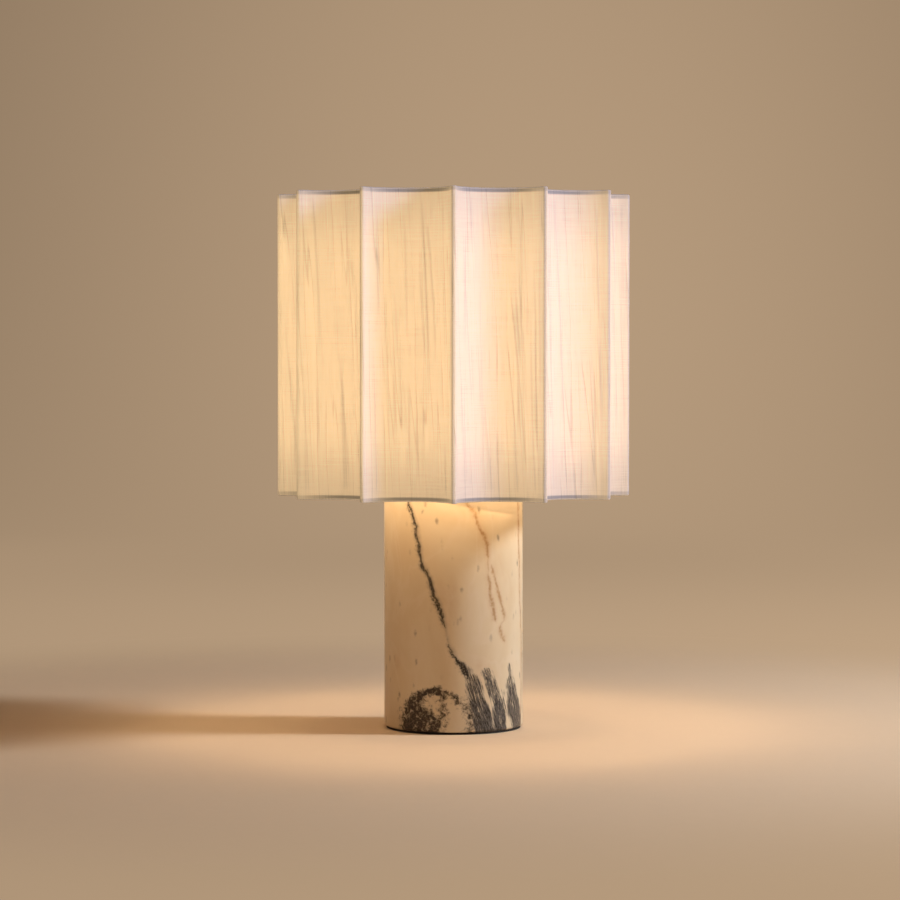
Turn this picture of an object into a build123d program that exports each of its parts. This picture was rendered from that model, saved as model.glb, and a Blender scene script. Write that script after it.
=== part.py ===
from build123d import *
from math import cos, radians, sin, sqrt, tan
import os

# Column table lamp: a hollow marble cylinder carries a lampholder, a bulb and a wire harp, and the harp
# carries a fluted cloth shade that is held down by a finial.
# Millimetres, Z up, origin at the middle of the foot pad's underside. The front of the lamp faces -Y.

# ---------------------------------------------------------------- driving dimensions
# Marble column
column_diameter = 130.0
column_height = 226.0
column_foot_round = 2.5
column_top_round = 1.5
roof_thickness = 24.0  # marble left above the cavity
cavity_diameter = 80.0
recess_diameter = 100.0  # counterbore under the cavity
recess_depth = 22.0

# Foot pad and base plate
pad_diameter = 126.0
pad_thickness = 2.0
plate_thickness = 3.0
plate_clearance = 0.3  # round the plate, in the recess

# Threaded tube, washers and nuts
tube_diameter = 10.0
tube_bore = 7.0
tube_hole_clearance = 0.3  # round the tube, in every hole that it passes
tube_tail = 0.6  # tube left showing under the bottom nut
nut_across_flats = 17.0
nut_thickness = 5.0
nut_chamfer = 0.6
washer_diameter = 26.0
washer_thickness = 1.5
check_ring_diameter = 38.0
check_ring_thickness = 2.5
thread_gap = 0.05  # round a screwed shank

# Cable outlet in the back of the column
outlet_height = 13.0  # axis above the tabletop
bush_bore = 7.0
bush_wall = 1.4
bush_flange_diameter = 14.0
bush_flange_thickness = 1.6
bush_lip_diameter = 10.8
bush_lip_length = 1.0
bush_clearance = 0.1
spot_face_depth = 0.6
spot_face_margin = 0.5  # round the flange

# Lead inside the lamp
lead_diameter = 5.4
lead_floor_gap = 0.9  # between the lead and the foot pad
lead_bend_radius = 8.0  # where the lead comes down from the clip
lead_turn_radius = 7.2  # where it turns up into the tube
lead_past_tube = 1.5  # sheath left above the tube
lead_end_gap = 1.0  # from the bush's inner end
core_diameter = 1.8
core_spread = 1.4  # of each core from the axis, where the sheath ends

# Cord clip under the base plate
clip_width = 18.0
clip_length = 8.0
clip_back = 34.0  # middle of the clip, from the axis
clip_bottom_wall = 2.6
clip_bore_clearance = 0.1
clip_screw_offset = 8.5
clip_screw_diameter = 3.0
clip_screw_head = 5.6
clip_screw_head_thickness = 1.8
clip_corner_round = 1.2
clip_slope_start = 2.0  # the lead leaves the clip straight for this far
screw_slot_width = 0.8
screw_slot_depth = 0.8

# Harp saddle
saddle_thickness = 1.5
saddle_width = 11.0
saddle_bend = 7.0
saddle_rise = 16.0  # strip's underside to the top of its arms
harp_foot_span = 76.0  # between the axes of the harp's feet
saddle_collar_diameter = 7.0
saddle_collar_height = 2.0
saddle_pin_length = 8.0

# Harp
harp_wire_diameter = 3.6
harp_height = 204.5  # from the feet to the axis of the wire at the crown
harp_width = 116.0  # between the axes of the legs at the bulb
harp_foot_straight = 30.0
harp_foot_bend = 25.0
harp_shoulder_rise = 38.0
harp_bulge_bend = 60.0
harp_neck_drop = 51.0  # the legs start to close this far under the crown
harp_neck_bend = 90.0
harp_crown_half = 32.0
harp_crown_bend = 40.0
harp_seat_gap = 0.3  # between the saddle's pin and the harp's foot
ferrule_diameter = 6.8
ferrule_length = 16.0
ferrule_clearance = 0.1
ferrule_rest_gap = 0.2
ferrule_chamfer = 0.6

# Harp crown and swivel stud
crown_diameter = 12.0
crown_height = 12.0
crown_wire_depth = 3.0  # wire's axis above the crown's underside
crown_chamfer = 1.0
stud_diameter = 6.2
stud_shank_diameter = 5.0
stud_shank_length = 6.0
stud_groove_width = 2.0
stud_groove_depth = 0.7
stud_flange_diameter = 16.0
stud_flange_thickness = 2.0
stud_length = 14.0
swivel_gap = 0.08
swivel_rest_gap = 0.2  # between the crown and the stud's flange
grub_diameter = 2.5
grub_tip_diameter = 1.5
grub_tip_gap = 0.15
grub_below_face = 0.3
stud_chamfer = 0.6

# Shade
shade_diameter = 330.0  # over opposite ridges
shade_height = 282.0
flute_depth = 38.5  # from the ridges in to the bottoms of the flutes
ridge_count = 12
cloth_thickness = 0.8
cloth_gap = 0.1  # between the cloth and the frame
ring_width = 4.0
ring_thickness = 3.0
strut_diameter = 3.0
hem_height = 4.6

# Spider of the shade
spider_arms = 3
arm_diameter = 3.0
hub_diameter = 32.0
hub_thickness = 2.0
hub_hole_clearance = 0.4
arm_reach = 14.0  # level part of an arm ends this far inside the ring
arm_upright = 9.0
arm_bend = 6.0
arm_sunk = 0.6  # of an arm in the hub
spider_drop = 18.5  # hub's underside below the top ring's underside
hub_seat_gap = 0.1

# Finial
finial_washer_thickness = 1.0
finial_washer_diameter = 17.0
finial_diameter = 15.0
finial_flange_thickness = 2.0
finial_neck_diameter = 10.0
finial_neck_height = 2.5
finial_drum_height = 9.0
finial_crown_height = 1.6
finial_roof = 2.0
finial_gap = 0.2
finial_grooves = 24
groove_radius = 0.5
thread_clearance = 0.1

# Lampholder
collar_diameter = 13.0
collar_height = 7.0
cap_wall = 0.8
cap_height = 22.5
cap_dome_height = 11.0
tube_reach = 8.0  # tube inside the cap
shell_wall = 0.6
shell_gap = 0.1  # between the nested sleeves of the lampholder
shell_top = 62.0  # all heights of the lampholder start at its own foot
shell_foot = 18.6
bead_width = 0.8
bead_height = 2.0
low_bead_foot = 42.0
liner_wall = 0.6
liner_margin = 0.6
holder_diameter = 33.2
body_foot = 20.0
body_top = 36.0
screw_wall = 0.5
screw_top = 60.0
thread_pitch = 3.629
thread_depth = 0.7
contact_width = 6.0
contact_thickness = 0.5
contact_half_length = 7.0
contact_flat = 4.0
contact_drop = 0.35  # spring contact under the bulb's tip
contact_bend_radius = 1.2
contact_hole_margin = 2.0  # round the contact, in the screw shell's floor
terminal_height = 28.0
terminal_head_diameter = 5.0
terminal_head_thickness = 1.6
terminal_shank_diameter = 2.8
terminal_shank_length = 5.0  # with the head
terminal_end_gap = 0.2
core_above_sheath = 3.5  # each core rises this far before it bends
core_bend_radius = 2.6
core_terminal_gap = 0.1  # under the terminal screw's head
notch_depth = 5.0
notch_width = 8.0
notch_top = 33.0
set_screw_diameter = 3.0
set_screw_length = 2.6
set_screw_height = 3.5
set_screw_slot_width = 0.5

# Rotary switch, on an axis along -Y
switch_height = 28.0
drum_diameter = 11.6
drum_inner_end = 2.0  # distances from the lamp's axis
drum_outer_end = 10.4
drum_clearance = 0.3
spindle_diameter = 4.0
spindle_clearance = 0.1
bush_flange_end = 12.9
switch_bush_diameter = 8.4
switch_bush_end = 20.0
switch_flange_diameter = 11.8
switch_hole_clearance = 0.4
knob_start = 22.5
knob_length = 11.0
knob_diameter = 13.0
knob_socket_depth = 8.0
knob_flutes = 16
knob_flute_radius = 0.7
knob_round = 1.0

# Bulb
bulb_length = 108.0
bulb_diameter = 60.0
bulb_tip_height = 40.0  # above the lampholder's foot
tip_diameter = 9.6
tip_thickness = 1.5
insulator_top = 4.5  # heights of the bulb start at its tip
insulator_diameter = 22.0
bulb_cap_top = 24.0
bulb_skirt_top = 27.0
bulb_cap_diameter = 26.1
bulb_cap_wall = 0.5
bulb_thread_depth = 0.8
housing_wall = 1.6
housing_foot_diameter = 27.4
housing_waist_height = 33.0
housing_waist_diameter = 31.0
housing_top = 62.0
globe_wall = 1.2
led_board_thickness = 1.2
led_board_drop = 1.0  # top of the board under the housing's rim
led_board_gap = 0.2  # round the board, in the housing
led_count = 10
led_size = 2.8
led_height = 0.7
led_circle_diameter = 32.0
driver_width = 15.0
driver_thickness = 1.2
driver_foot = 28.0
capacitor_diameter = 6.0
capacitor_length = 12.0
capacitor_foot = 3.0  # above the driver board's foot
capacitor_sunk = 0.4

# ---------------------------------------------------------------- levels worked out from them
column_radius = column_diameter / 2
column_foot = pad_thickness
column_top = column_foot + column_height
recess_top = column_foot + recess_depth
cavity_top = column_top - roof_thickness
plate_bottom = recess_top - plate_thickness
washer_bottom = plate_bottom - washer_thickness
nut_bottom = washer_bottom - nut_thickness
tube_bottom = nut_bottom - tube_tail
tube_hole_radius = tube_diameter / 2 + tube_hole_clearance

check_ring_top = column_top + check_ring_thickness
saddle_bottom = check_ring_top + nut_thickness
holder_foot = saddle_bottom + saddle_thickness
tube_top = holder_foot + tube_reach

arm_top = saddle_bottom + saddle_rise
pin_bottom = arm_top + saddle_collar_height
pin_top = pin_bottom + saddle_pin_length
harp_foot = pin_top + harp_seat_gap
harp_top = harp_foot + harp_height
foot_offset = harp_foot_span / 2
crown_bottom = harp_top - crown_wire_depth
crown_top = crown_bottom + crown_height
stud_flange_bottom = crown_top + swivel_rest_gap

# The shade stands on the stud's flange, and the finial on its hub
hub_bottom = stud_flange_bottom + stud_flange_thickness + hub_seat_gap
hub_top = hub_bottom + hub_thickness
washer_foot = hub_top + finial_gap
finial_foot = washer_foot + finial_washer_thickness + finial_gap
ring_inset = cloth_thickness + cloth_gap
top_ring_bottom = hub_bottom + spider_drop
top_ring_top = top_ring_bottom + ring_thickness
shade_top = top_ring_top + ring_inset
shade_bottom = shade_top - shade_height
bottom_ring_bottom = shade_bottom + ring_inset
bottom_ring_top = bottom_ring_bottom + ring_thickness
hem_inset = ring_inset + ring_width + cloth_gap + cloth_thickness

# Bulb levels
bulb_tip = holder_foot + bulb_tip_height
globe_radius = bulb_diameter / 2
globe_centre = bulb_tip + bulb_length - globe_radius
globe_rim_radius = sqrt(globe_radius**2 - (globe_centre - bulb_tip - housing_top) ** 2)

# Nested sleeves of the lampholder, outside in
holder_radius = holder_diameter / 2
shell_radius = holder_radius - cap_wall - shell_gap
liner_radius = shell_radius - shell_wall - shell_gap
body_radius = liner_radius - liner_wall - shell_gap
switch_axis = holder_foot + switch_height

# Flutes: each ridge is a round of ridge_radius about a strut, and each flute is an arc that is tangent to
# the rounds on both sides of it and touches the valley circle.
shade_radius = shade_diameter / 2
valley_radius = shade_radius - flute_depth
ridge_pitch = 360 / ridge_count
strut_radius = strut_diameter / 2
ridge_radius = strut_radius + cloth_gap + cloth_thickness
strut_circle_radius = shade_radius - ridge_radius
half_cos = cos(radians(ridge_pitch / 2))
strut_to_valley = valley_radius**2 + strut_circle_radius**2 - 2 * valley_radius * strut_circle_radius * half_cos
flute_radius = (strut_to_valley - ridge_radius**2) / (
    2 * (strut_circle_radius * half_cos + ridge_radius - valley_radius)
)
flute_centre_radius = valley_radius + flute_radius

os.makedirs("parts", exist_ok=True)


# ---------------------------------------------------------------- helpers
def save(piece, name):
    """Labels a finished piece and writes it under its own name."""
    piece.part.label = name
    export_step(piece.part, f"parts/{name}.step")


def at(radius, degrees):
    """A point of the XY plane from its radius and its angle."""
    return Vector(radius * cos(radians(degrees)), radius * sin(radians(degrees)))


def ridge_arc(centre, radius, start, end):
    """The short way round a strut, from start to end."""
    middle = ((start - centre).normalized() + (end - centre).normalized()).normalized()
    return ThreePointArc(start, centre + middle * radius, end)


def flute_end(inset, ridge):
    """Where the line at that inset crosses the plane of a ridge."""
    if inset <= ridge_radius:
        return at(shade_radius - inset, ridge * ridge_pitch)
    centre = at(flute_centre_radius, ridge_pitch / 2)
    reach = sqrt((flute_radius + inset) ** 2 - centre.Y**2)
    return at(centre.X - reach, ridge * ridge_pitch)


def flute_line(inset, ridge):
    """Draws the line from one ridge to the next, a constant inset behind the shade's outer face."""
    centre = at(flute_centre_radius, (ridge + 0.5) * ridge_pitch)
    valley = at(valley_radius - inset, (ridge + 0.5) * ridge_pitch)
    start = flute_end(inset, ridge)
    end = flute_end(inset, ridge + 1)
    if inset >= ridge_radius:
        ThreePointArc(start, valley, end)
        return
    first = at(strut_circle_radius, ridge * ridge_pitch)
    last = at(strut_circle_radius, (ridge + 1) * ridge_pitch)
    meet_first = centre + (first - centre).normalized() * (flute_radius + inset)
    meet_last = centre + (last - centre).normalized() * (flute_radius + inset)
    ridge_arc(first, ridge_radius - inset, start, meet_first)
    ThreePointArc(meet_first, valley, meet_last)
    ridge_arc(last, ridge_radius - inset, meet_last, end)


def flute_outline(inset):
    """Draws the closed outline of the shade, a constant inset behind its outer face."""
    for ridge in range(ridge_count):
        flute_line(inset, ridge)


def disc(radius, bottom, thickness, hole=0.0):
    """Adds a disc to the open part, with a round hole if one is given."""
    with BuildSketch(Plane.XY.offset(bottom)) as profile:
        Circle(radius)
        if hole:
            Circle(hole, mode=Mode.SUBTRACT)
    extrude(profile.sketch, amount=thickness)


def turned(*points):
    """Adds the body turned about Z from a closed outline of (radius, height) points."""
    with BuildSketch(Plane.XZ) as profile:
        Polygon(*points, align=None)
    revolve(profile.sketch, axis=Axis.Z)


def along_y(start, height=0.0):
    """A plane that faces -Y, the way the switch points, with start as its distance from the axis."""
    return Plane(origin=(0, -start, height), x_dir=(1, 0, 0), z_dir=(0, -1, 0))


# ---------------------------------------------------------------- column and foot
with BuildPart() as marble_column:
    disc(column_radius, column_foot, column_height)
    fillet(marble_column.edges().sort_by(Axis.Z)[0], column_foot_round)
    fillet(marble_column.edges().sort_by(Axis.Z)[-1], column_top_round)
    with BuildSketch(Plane.XY.offset(column_foot)):
        Circle(recess_diameter / 2)
    extrude(amount=recess_depth, mode=Mode.SUBTRACT)
    with BuildSketch(Plane.XY.offset(recess_top)):
        Circle(cavity_diameter / 2)
    extrude(amount=cavity_top - recess_top, mode=Mode.SUBTRACT)
    with BuildSketch(Plane.XY.offset(cavity_top)):
        Circle(tube_hole_radius)
    extrude(amount=roof_thickness, mode=Mode.SUBTRACT)
    # Cable outlet: a hole through the back wall, with a flat turned round its mouth
    with BuildSketch(Plane(origin=(0, 0, outlet_height), z_dir=(0, 1, 0))):
        Circle(bush_bore / 2 + bush_wall + bush_clearance)
    extrude(amount=column_diameter, mode=Mode.SUBTRACT)
    with BuildSketch(Plane(origin=(0, column_radius - spot_face_depth, outlet_height), z_dir=(0, 1, 0))):
        Circle(bush_flange_diameter / 2 + spot_face_margin)
    extrude(amount=column_radius, mode=Mode.SUBTRACT)
save(marble_column, "marble_column")

with BuildPart() as base_pad:
    disc(pad_diameter / 2, 0, pad_thickness)
save(base_pad, "base_pad")

clip_screw_place = (clip_screw_offset, clip_back)
with BuildPart() as base_plate:
    disc(recess_diameter / 2 - plate_clearance, plate_bottom, plate_thickness, tube_hole_radius)
    with BuildSketch(Plane.XY.offset(plate_bottom)):
        with Locations(clip_screw_place):
            Circle(clip_screw_diameter / 2 + thread_gap)
    extrude(amount=plate_thickness, mode=Mode.SUBTRACT)
save(base_plate, "base_plate")


def hex_nut(bottom):
    """A hexagon nut on the threaded tube."""
    with BuildPart() as nut:
        with BuildSketch(Plane.XY.offset(bottom)):
            RegularPolygon(nut_across_flats / 2, 6, major_radius=False)
            Circle(tube_diameter / 2 + thread_gap, mode=Mode.SUBTRACT)
        extrude(amount=nut_thickness)
        rims = nut.edges().filter_by(GeomType.LINE).filter_by(Plane.XY)
        chamfer(rims, nut_chamfer)
    return nut


save(hex_nut(nut_bottom), "bottom_nut")
save(hex_nut(check_ring_top), "top_nut")

with BuildPart() as bottom_washer:
    disc(washer_diameter / 2, washer_bottom, washer_thickness, tube_hole_radius)
save(bottom_washer, "bottom_washer")

with BuildPart() as check_ring:
    disc(check_ring_diameter / 2, column_top, check_ring_thickness, tube_hole_radius)
    rim = check_ring.edges().filter_by(GeomType.CIRCLE).group_by(Axis.Z)[-1].sort_by(SortBy.RADIUS)[-1]
    fillet(rim, check_ring_thickness * 0.6)
save(check_ring, "check_ring")

with BuildPart() as lamp_tube:
    disc(tube_diameter / 2, tube_bottom, tube_top - tube_bottom, tube_bore / 2)
save(lamp_tube, "lamp_tube")

# ---------------------------------------------------------------- cable outlet, inner lead and clip
bush_radius = bush_bore / 2 + bush_wall
bush_outer_end = column_radius - spot_face_depth + bush_flange_thickness
bush_inner_end = recess_diameter / 2 - bush_lip_length
back_axis = Plane(origin=(0, 0, outlet_height), x_dir=(1, 0, 0), z_dir=(0, 1, 0))
with BuildPart() as cable_bush:
    with BuildSketch(back_axis.offset(bush_inner_end)):
        Circle(bush_radius)
    extrude(amount=bush_outer_end - bush_inner_end)
    with BuildSketch(back_axis.offset(column_radius - spot_face_depth)):
        Circle(bush_flange_diameter / 2)
    extrude(amount=bush_flange_thickness)
    outer_rim = cable_bush.edges().filter_by(GeomType.CIRCLE).sort_by(Axis.Y)[-1]
    fillet(outer_rim, bush_flange_thickness * 0.6)
    # The recess wall is round, so the lip starts clear of it
    lip_start = sqrt((recess_diameter / 2) ** 2 - (bush_lip_diameter / 2) ** 2) - bush_lip_length
    with BuildSketch(back_axis.offset(lip_start - bush_lip_length)):
        Circle(bush_lip_diameter / 2)
    extrude(amount=bush_lip_length)
    with BuildSketch(back_axis.offset(lip_start - bush_lip_length)):
        Circle(bush_radius)
    extrude(amount=bush_inner_end - lip_start + bush_lip_length)
    with BuildSketch(back_axis.offset(lip_start - bush_lip_length)):
        Circle(bush_bore / 2)
    extrude(amount=bush_outer_end - lip_start + bush_lip_length, mode=Mode.SUBTRACT)
save(cable_bush, "cable_bush")

lead_radius = lead_diameter / 2
lead_start = lip_start - bush_lip_length - lead_end_gap
lead_low = column_foot + lead_floor_gap + lead_radius
lead_end = tube_top + lead_past_tube
clip_front = clip_back - clip_length / 2
with BuildPart() as inner_lead:
    with BuildLine() as lead_route:
        FilletPolyline(
            (0, lead_start, outlet_height),
            (0, clip_front - clip_slope_start, outlet_height),
            (0, clip_front / 2, lead_low),
            (0, 0, lead_low),
            (0, 0, lead_end),
            radius=(lead_bend_radius, lead_bend_radius, lead_turn_radius),
        )
    with BuildSketch(Plane(origin=(0, lead_start, outlet_height), z_dir=(0, -1, 0))):
        Circle(lead_radius)
    sweep(path=lead_route.line)
save(inner_lead, "inner_lead")

clip_hole = lead_radius + clip_bore_clearance
clip_low = outlet_height - clip_hole - clip_bottom_wall
clip_edge = clip_hole + clip_bottom_wall
with BuildPart() as cord_clip:
    with BuildSketch(Plane.XY.offset(clip_low)):
        with Locations((clip_width / 2 - clip_edge, clip_back)):
            Rectangle(clip_width, clip_length)
    extrude(amount=plate_bottom - clip_low)
    fillet(cord_clip.edges().filter_by(Axis.Z), clip_corner_round)
    with BuildSketch(back_axis.offset(clip_front)):
        Circle(clip_hole)
    extrude(amount=clip_length, mode=Mode.SUBTRACT)
    with BuildSketch(Plane.XY.offset(clip_low)):
        with Locations(clip_screw_place):
            Circle(clip_screw_diameter / 2 + thread_gap)
    extrude(amount=plate_bottom - clip_low, mode=Mode.SUBTRACT)
save(cord_clip, "cord_clip")

with BuildPart() as clip_screw:
    with BuildSketch(Plane.XY.offset(clip_low - clip_screw_head_thickness)):
        with Locations(clip_screw_place):
            Circle(clip_screw_head / 2)
    extrude(amount=clip_screw_head_thickness)
    with BuildSketch(Plane.XY.offset(clip_low)):
        with Locations(clip_screw_place):
            Circle(clip_screw_diameter / 2)
    extrude(amount=recess_top - clip_low)
    with BuildSketch(Plane.XY.offset(clip_low - clip_screw_head_thickness)):
        with Locations(clip_screw_place):
            Rectangle(clip_screw_head, screw_slot_width)
    extrude(amount=screw_slot_depth, mode=Mode.SUBTRACT)
save(clip_screw, "clip_screw")

# ---------------------------------------------------------------- harp saddle, harp and ferrules
with BuildPart() as harp_saddle:
    with BuildSketch(Plane.XZ.offset(-saddle_width / 2)):
        with BuildLine():
            half = saddle_thickness / 2
            FilletPolyline(
                (-foot_offset, arm_top),
                (-foot_offset, saddle_bottom + half),
                (foot_offset, saddle_bottom + half),
                (foot_offset, arm_top),
                radius=saddle_bend,
            )
            offset(amount=half, side=Side.BOTH)
        make_face()
    extrude(amount=saddle_width)
    with BuildSketch(Plane.XY.offset(saddle_bottom)):
        Circle(tube_hole_radius)
    extrude(amount=saddle_thickness, mode=Mode.SUBTRACT)
    with BuildSketch(Plane.XY.offset(arm_top)):
        with Locations((-foot_offset, 0), (foot_offset, 0)):
            Circle(saddle_collar_diameter / 2)
    extrude(amount=saddle_collar_height)
    with BuildSketch(Plane.XY.offset(pin_bottom)):
        with Locations((-foot_offset, 0), (foot_offset, 0)):
            Circle(harp_wire_diameter / 2)
    extrude(amount=saddle_pin_length)
save(harp_saddle, "harp_saddle")

half_width = harp_width / 2
leg_bend_level = harp_foot + harp_foot_straight
with BuildPart() as harp_wire:
    with BuildLine(Plane.XZ) as harp_route:
        FilletPolyline(
            (foot_offset, harp_foot),
            (foot_offset, leg_bend_level),
            (half_width, leg_bend_level + harp_shoulder_rise),
            (half_width, harp_top - harp_neck_drop),
            (harp_crown_half, harp_top),
            (-harp_crown_half, harp_top),
            (-half_width, harp_top - harp_neck_drop),
            (-half_width, leg_bend_level + harp_shoulder_rise),
            (-foot_offset, leg_bend_level),
            (-foot_offset, harp_foot),
            radius=(
                harp_foot_bend,
                harp_bulge_bend,
                harp_neck_bend,
                harp_crown_bend,
                harp_crown_bend,
                harp_neck_bend,
                harp_bulge_bend,
                harp_foot_bend,
            ),
        )
    with BuildSketch(Plane(origin=(foot_offset, 0, harp_foot), z_dir=(0, 0, 1))):
        Circle(harp_wire_diameter / 2)
    sweep(path=harp_route.line)
save(harp_wire, "harp_wire")

crown_radius = crown_diameter / 2
shank_radius = stud_shank_diameter / 2
groove_middle = stud_flange_bottom - stud_shank_length / 2
with BuildPart() as harp_crown:
    disc(crown_radius, crown_bottom, crown_height)
    chamfer(harp_crown.edges().filter_by(GeomType.CIRCLE), crown_chamfer)
    with BuildSketch(Plane(origin=(-crown_radius, 0, harp_top), z_dir=(1, 0, 0))):
        Circle(harp_wire_diameter / 2 + thread_gap)
    extrude(amount=crown_diameter, mode=Mode.SUBTRACT)
    with BuildSketch(Plane.XY.offset(crown_top)):
        Circle(shank_radius + swivel_gap)
    extrude(amount=-stud_shank_length, mode=Mode.SUBTRACT)
    with BuildSketch(along_y(0, groove_middle)):
        Circle(grub_diameter / 2)
    extrude(amount=crown_radius, mode=Mode.SUBTRACT)
save(harp_crown, "harp_crown")

groove_radius_inner = shank_radius - stud_groove_depth
with BuildPart() as crown_grub_screw:
    with BuildSketch(along_y(groove_radius_inner + grub_tip_gap, groove_middle)):
        Circle(grub_tip_diameter / 2)
    extrude(amount=stud_groove_depth + swivel_gap)
    with BuildSketch(along_y(shank_radius + swivel_gap, groove_middle)):
        Circle(grub_diameter / 2)
    extrude(amount=crown_radius - shank_radius - swivel_gap - grub_below_face)
save(crown_grub_screw, "crown_grub_screw")

with BuildPart() as harp_stud:
    shank_bottom = crown_top - stud_shank_length + swivel_gap
    disc(shank_radius, shank_bottom, stud_flange_bottom - shank_bottom)
    with BuildSketch(Plane.XY.offset(groove_middle - stud_groove_width / 2)):
        Circle(shank_radius)
        Circle(groove_radius_inner, mode=Mode.SUBTRACT)
    extrude(amount=stud_groove_width, mode=Mode.SUBTRACT)
    disc(stud_flange_diameter / 2, stud_flange_bottom, stud_flange_thickness)
    disc(stud_diameter / 2, stud_flange_bottom + stud_flange_thickness, stud_length)
    chamfer(harp_stud.edges().sort_by(Axis.Z)[-1], stud_chamfer)
save(harp_stud, "harp_stud")


def ferrule(side):
    """The sleeve that locks a harp foot to the saddle's pin."""
    inner = harp_wire_diameter / 2 + ferrule_clearance
    with BuildPart() as sleeve:
        with BuildSketch(Plane.XY.offset(pin_bottom + ferrule_rest_gap)):
            with Locations((side * foot_offset, 0)):
                Circle(ferrule_diameter / 2)
                Circle(inner, mode=Mode.SUBTRACT)
        extrude(amount=ferrule_length)
        outer_rims = sleeve.edges().filter_by(GeomType.CIRCLE).group_by(SortBy.RADIUS)[-1]
        chamfer(outer_rims, ferrule_chamfer)
    return sleeve


save(ferrule(-1), "ferrule_left")
save(ferrule(1), "ferrule_right")

# ---------------------------------------------------------------- lampholder
collar_radius = collar_diameter / 2
cap_top = holder_foot + cap_height
dome_foot = holder_foot + collar_height
dome_top = dome_foot + cap_dome_height
with BuildPart() as holder_cap:
    tube_seat = tube_diameter / 2 + thread_gap
    turned(
        (tube_seat, holder_foot),
        (collar_radius, holder_foot),
        (collar_radius, dome_foot),
        (holder_radius * 0.72, dome_foot + cap_dome_height * 0.35),
        (holder_radius, dome_top),
        (holder_radius, cap_top),
        (holder_radius - cap_wall, cap_top),
        (holder_radius - cap_wall, dome_top + cap_wall * 0.3),
        (holder_radius * 0.72 - cap_wall * 0.5, dome_foot + cap_dome_height * 0.35 + cap_wall),
        (collar_radius, dome_foot + cap_wall),
        (tube_seat, dome_foot + cap_wall),
    )
    with BuildSketch(Plane(origin=(0, 0, holder_foot + set_screw_height), z_dir=(1, 0, 0))):
        Circle(set_screw_diameter / 2 + thread_gap)
    extrude(amount=collar_radius + 1, mode=Mode.SUBTRACT)
save(holder_cap, "holder_cap")

with BuildPart() as holder_set_screw:
    set_screw_level = holder_foot + set_screw_height
    with BuildSketch(Plane(origin=(tube_seat, 0, set_screw_level), z_dir=(1, 0, 0))):
        Circle(set_screw_diameter / 2)
    extrude(amount=set_screw_length)
    with BuildSketch(Plane(origin=(tube_seat + set_screw_length, 0, set_screw_level), z_dir=(-1, 0, 0))):
        Rectangle(set_screw_diameter, set_screw_slot_width)
    extrude(amount=screw_slot_depth, mode=Mode.SUBTRACT)
save(holder_set_screw, "holder_set_screw")

switch_hole = switch_bush_diameter / 2 + switch_hole_clearance
shell_bottom = holder_foot + shell_foot
shell_rim = holder_foot + shell_top
with BuildPart() as holder_shell:
    disc(shell_radius, shell_bottom, shell_rim - shell_bottom, shell_radius - shell_wall)
    for bead_foot in (shell_rim - bead_height, holder_foot + low_bead_foot):
        bead_middle = bead_foot + bead_height / 2
        turned(
            (shell_radius - shell_wall / 2, bead_foot),
            (shell_radius, bead_foot),
            (shell_radius + bead_width * 0.8, bead_middle - bead_height * 0.25),
            (shell_radius + bead_width, bead_middle),
            (shell_radius + bead_width * 0.8, bead_middle + bead_height * 0.25),
            (shell_radius, bead_foot + bead_height),
            (shell_radius - shell_wall / 2, bead_foot + bead_height),
        )
    with BuildSketch(along_y(0, switch_axis)):
        Circle(switch_hole)
    extrude(amount=holder_diameter, mode=Mode.SUBTRACT)
save(holder_shell, "holder_shell")

with BuildPart() as holder_liner:
    liner_height = shell_rim - shell_bottom - 2 * liner_margin
    disc(liner_radius, shell_bottom + liner_margin, liner_height, liner_radius - liner_wall)
    with BuildSketch(along_y(0, switch_axis)):
        Circle(switch_hole)
    extrude(amount=holder_diameter, mode=Mode.SUBTRACT)
save(holder_liner, "holder_liner")

body_bottom = holder_foot + body_foot
body_roof = holder_foot + body_top
terminal_level = holder_foot + terminal_height
notch_floor = body_radius - notch_depth
with BuildPart() as holder_body:
    disc(body_radius, body_bottom, body_roof - body_bottom)
    with BuildSketch(along_y(drum_inner_end - drum_clearance, switch_axis)):
        Circle(drum_diameter / 2 + drum_clearance)
    extrude(amount=body_radius, mode=Mode.SUBTRACT)
    for side in (-1, 1):
        with BuildSketch(Plane.XY.offset(body_bottom)):
            with Locations((side * (notch_floor + notch_depth), 0)):
                Rectangle(2 * notch_depth, notch_width)
        extrude(amount=holder_foot + notch_top - body_bottom, mode=Mode.SUBTRACT)
        with BuildSketch(Plane(origin=(side * notch_floor, 0, terminal_level), z_dir=(-side, 0, 0))):
            Circle(terminal_shank_diameter / 2 + thread_gap)
        extrude(amount=terminal_shank_length - terminal_head_thickness, mode=Mode.SUBTRACT)
save(holder_body, "holder_body")

with BuildPart() as terminal_screws:
    for side in (-1, 1):
        with BuildSketch(Plane(origin=(side * notch_floor, 0, terminal_level), z_dir=(side, 0, 0))):
            Circle(terminal_head_diameter / 2)
        extrude(amount=terminal_head_thickness)
        with BuildSketch(Plane(origin=(side * notch_floor, 0, terminal_level), z_dir=(-side, 0, 0))):
            Circle(terminal_shank_diameter / 2)
        extrude(amount=terminal_shank_length - terminal_head_thickness - terminal_end_gap)
save(terminal_screws, "terminal_screws")

core_reach = notch_floor + terminal_head_thickness / 2 + core_diameter / 2
core_top = terminal_level - terminal_head_diameter / 2 - core_terminal_gap
with BuildPart() as lead_cores:
    for side in (-1, 1):
        with BuildLine(Plane.XZ) as core_route:
            FilletPolyline(
                (side * core_spread, lead_end),
                (side * core_spread, lead_end + core_above_sheath),
                (side * core_reach, body_bottom - core_diameter),
                (side * core_reach, core_top),
                radius=core_bend_radius,
            )
        with BuildSketch(Plane(origin=(side * core_spread, 0, lead_end), z_dir=(0, 0, 1))):
            Circle(core_diameter / 2)
        sweep(path=core_route.line)
save(lead_cores, "lead_cores")

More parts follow.
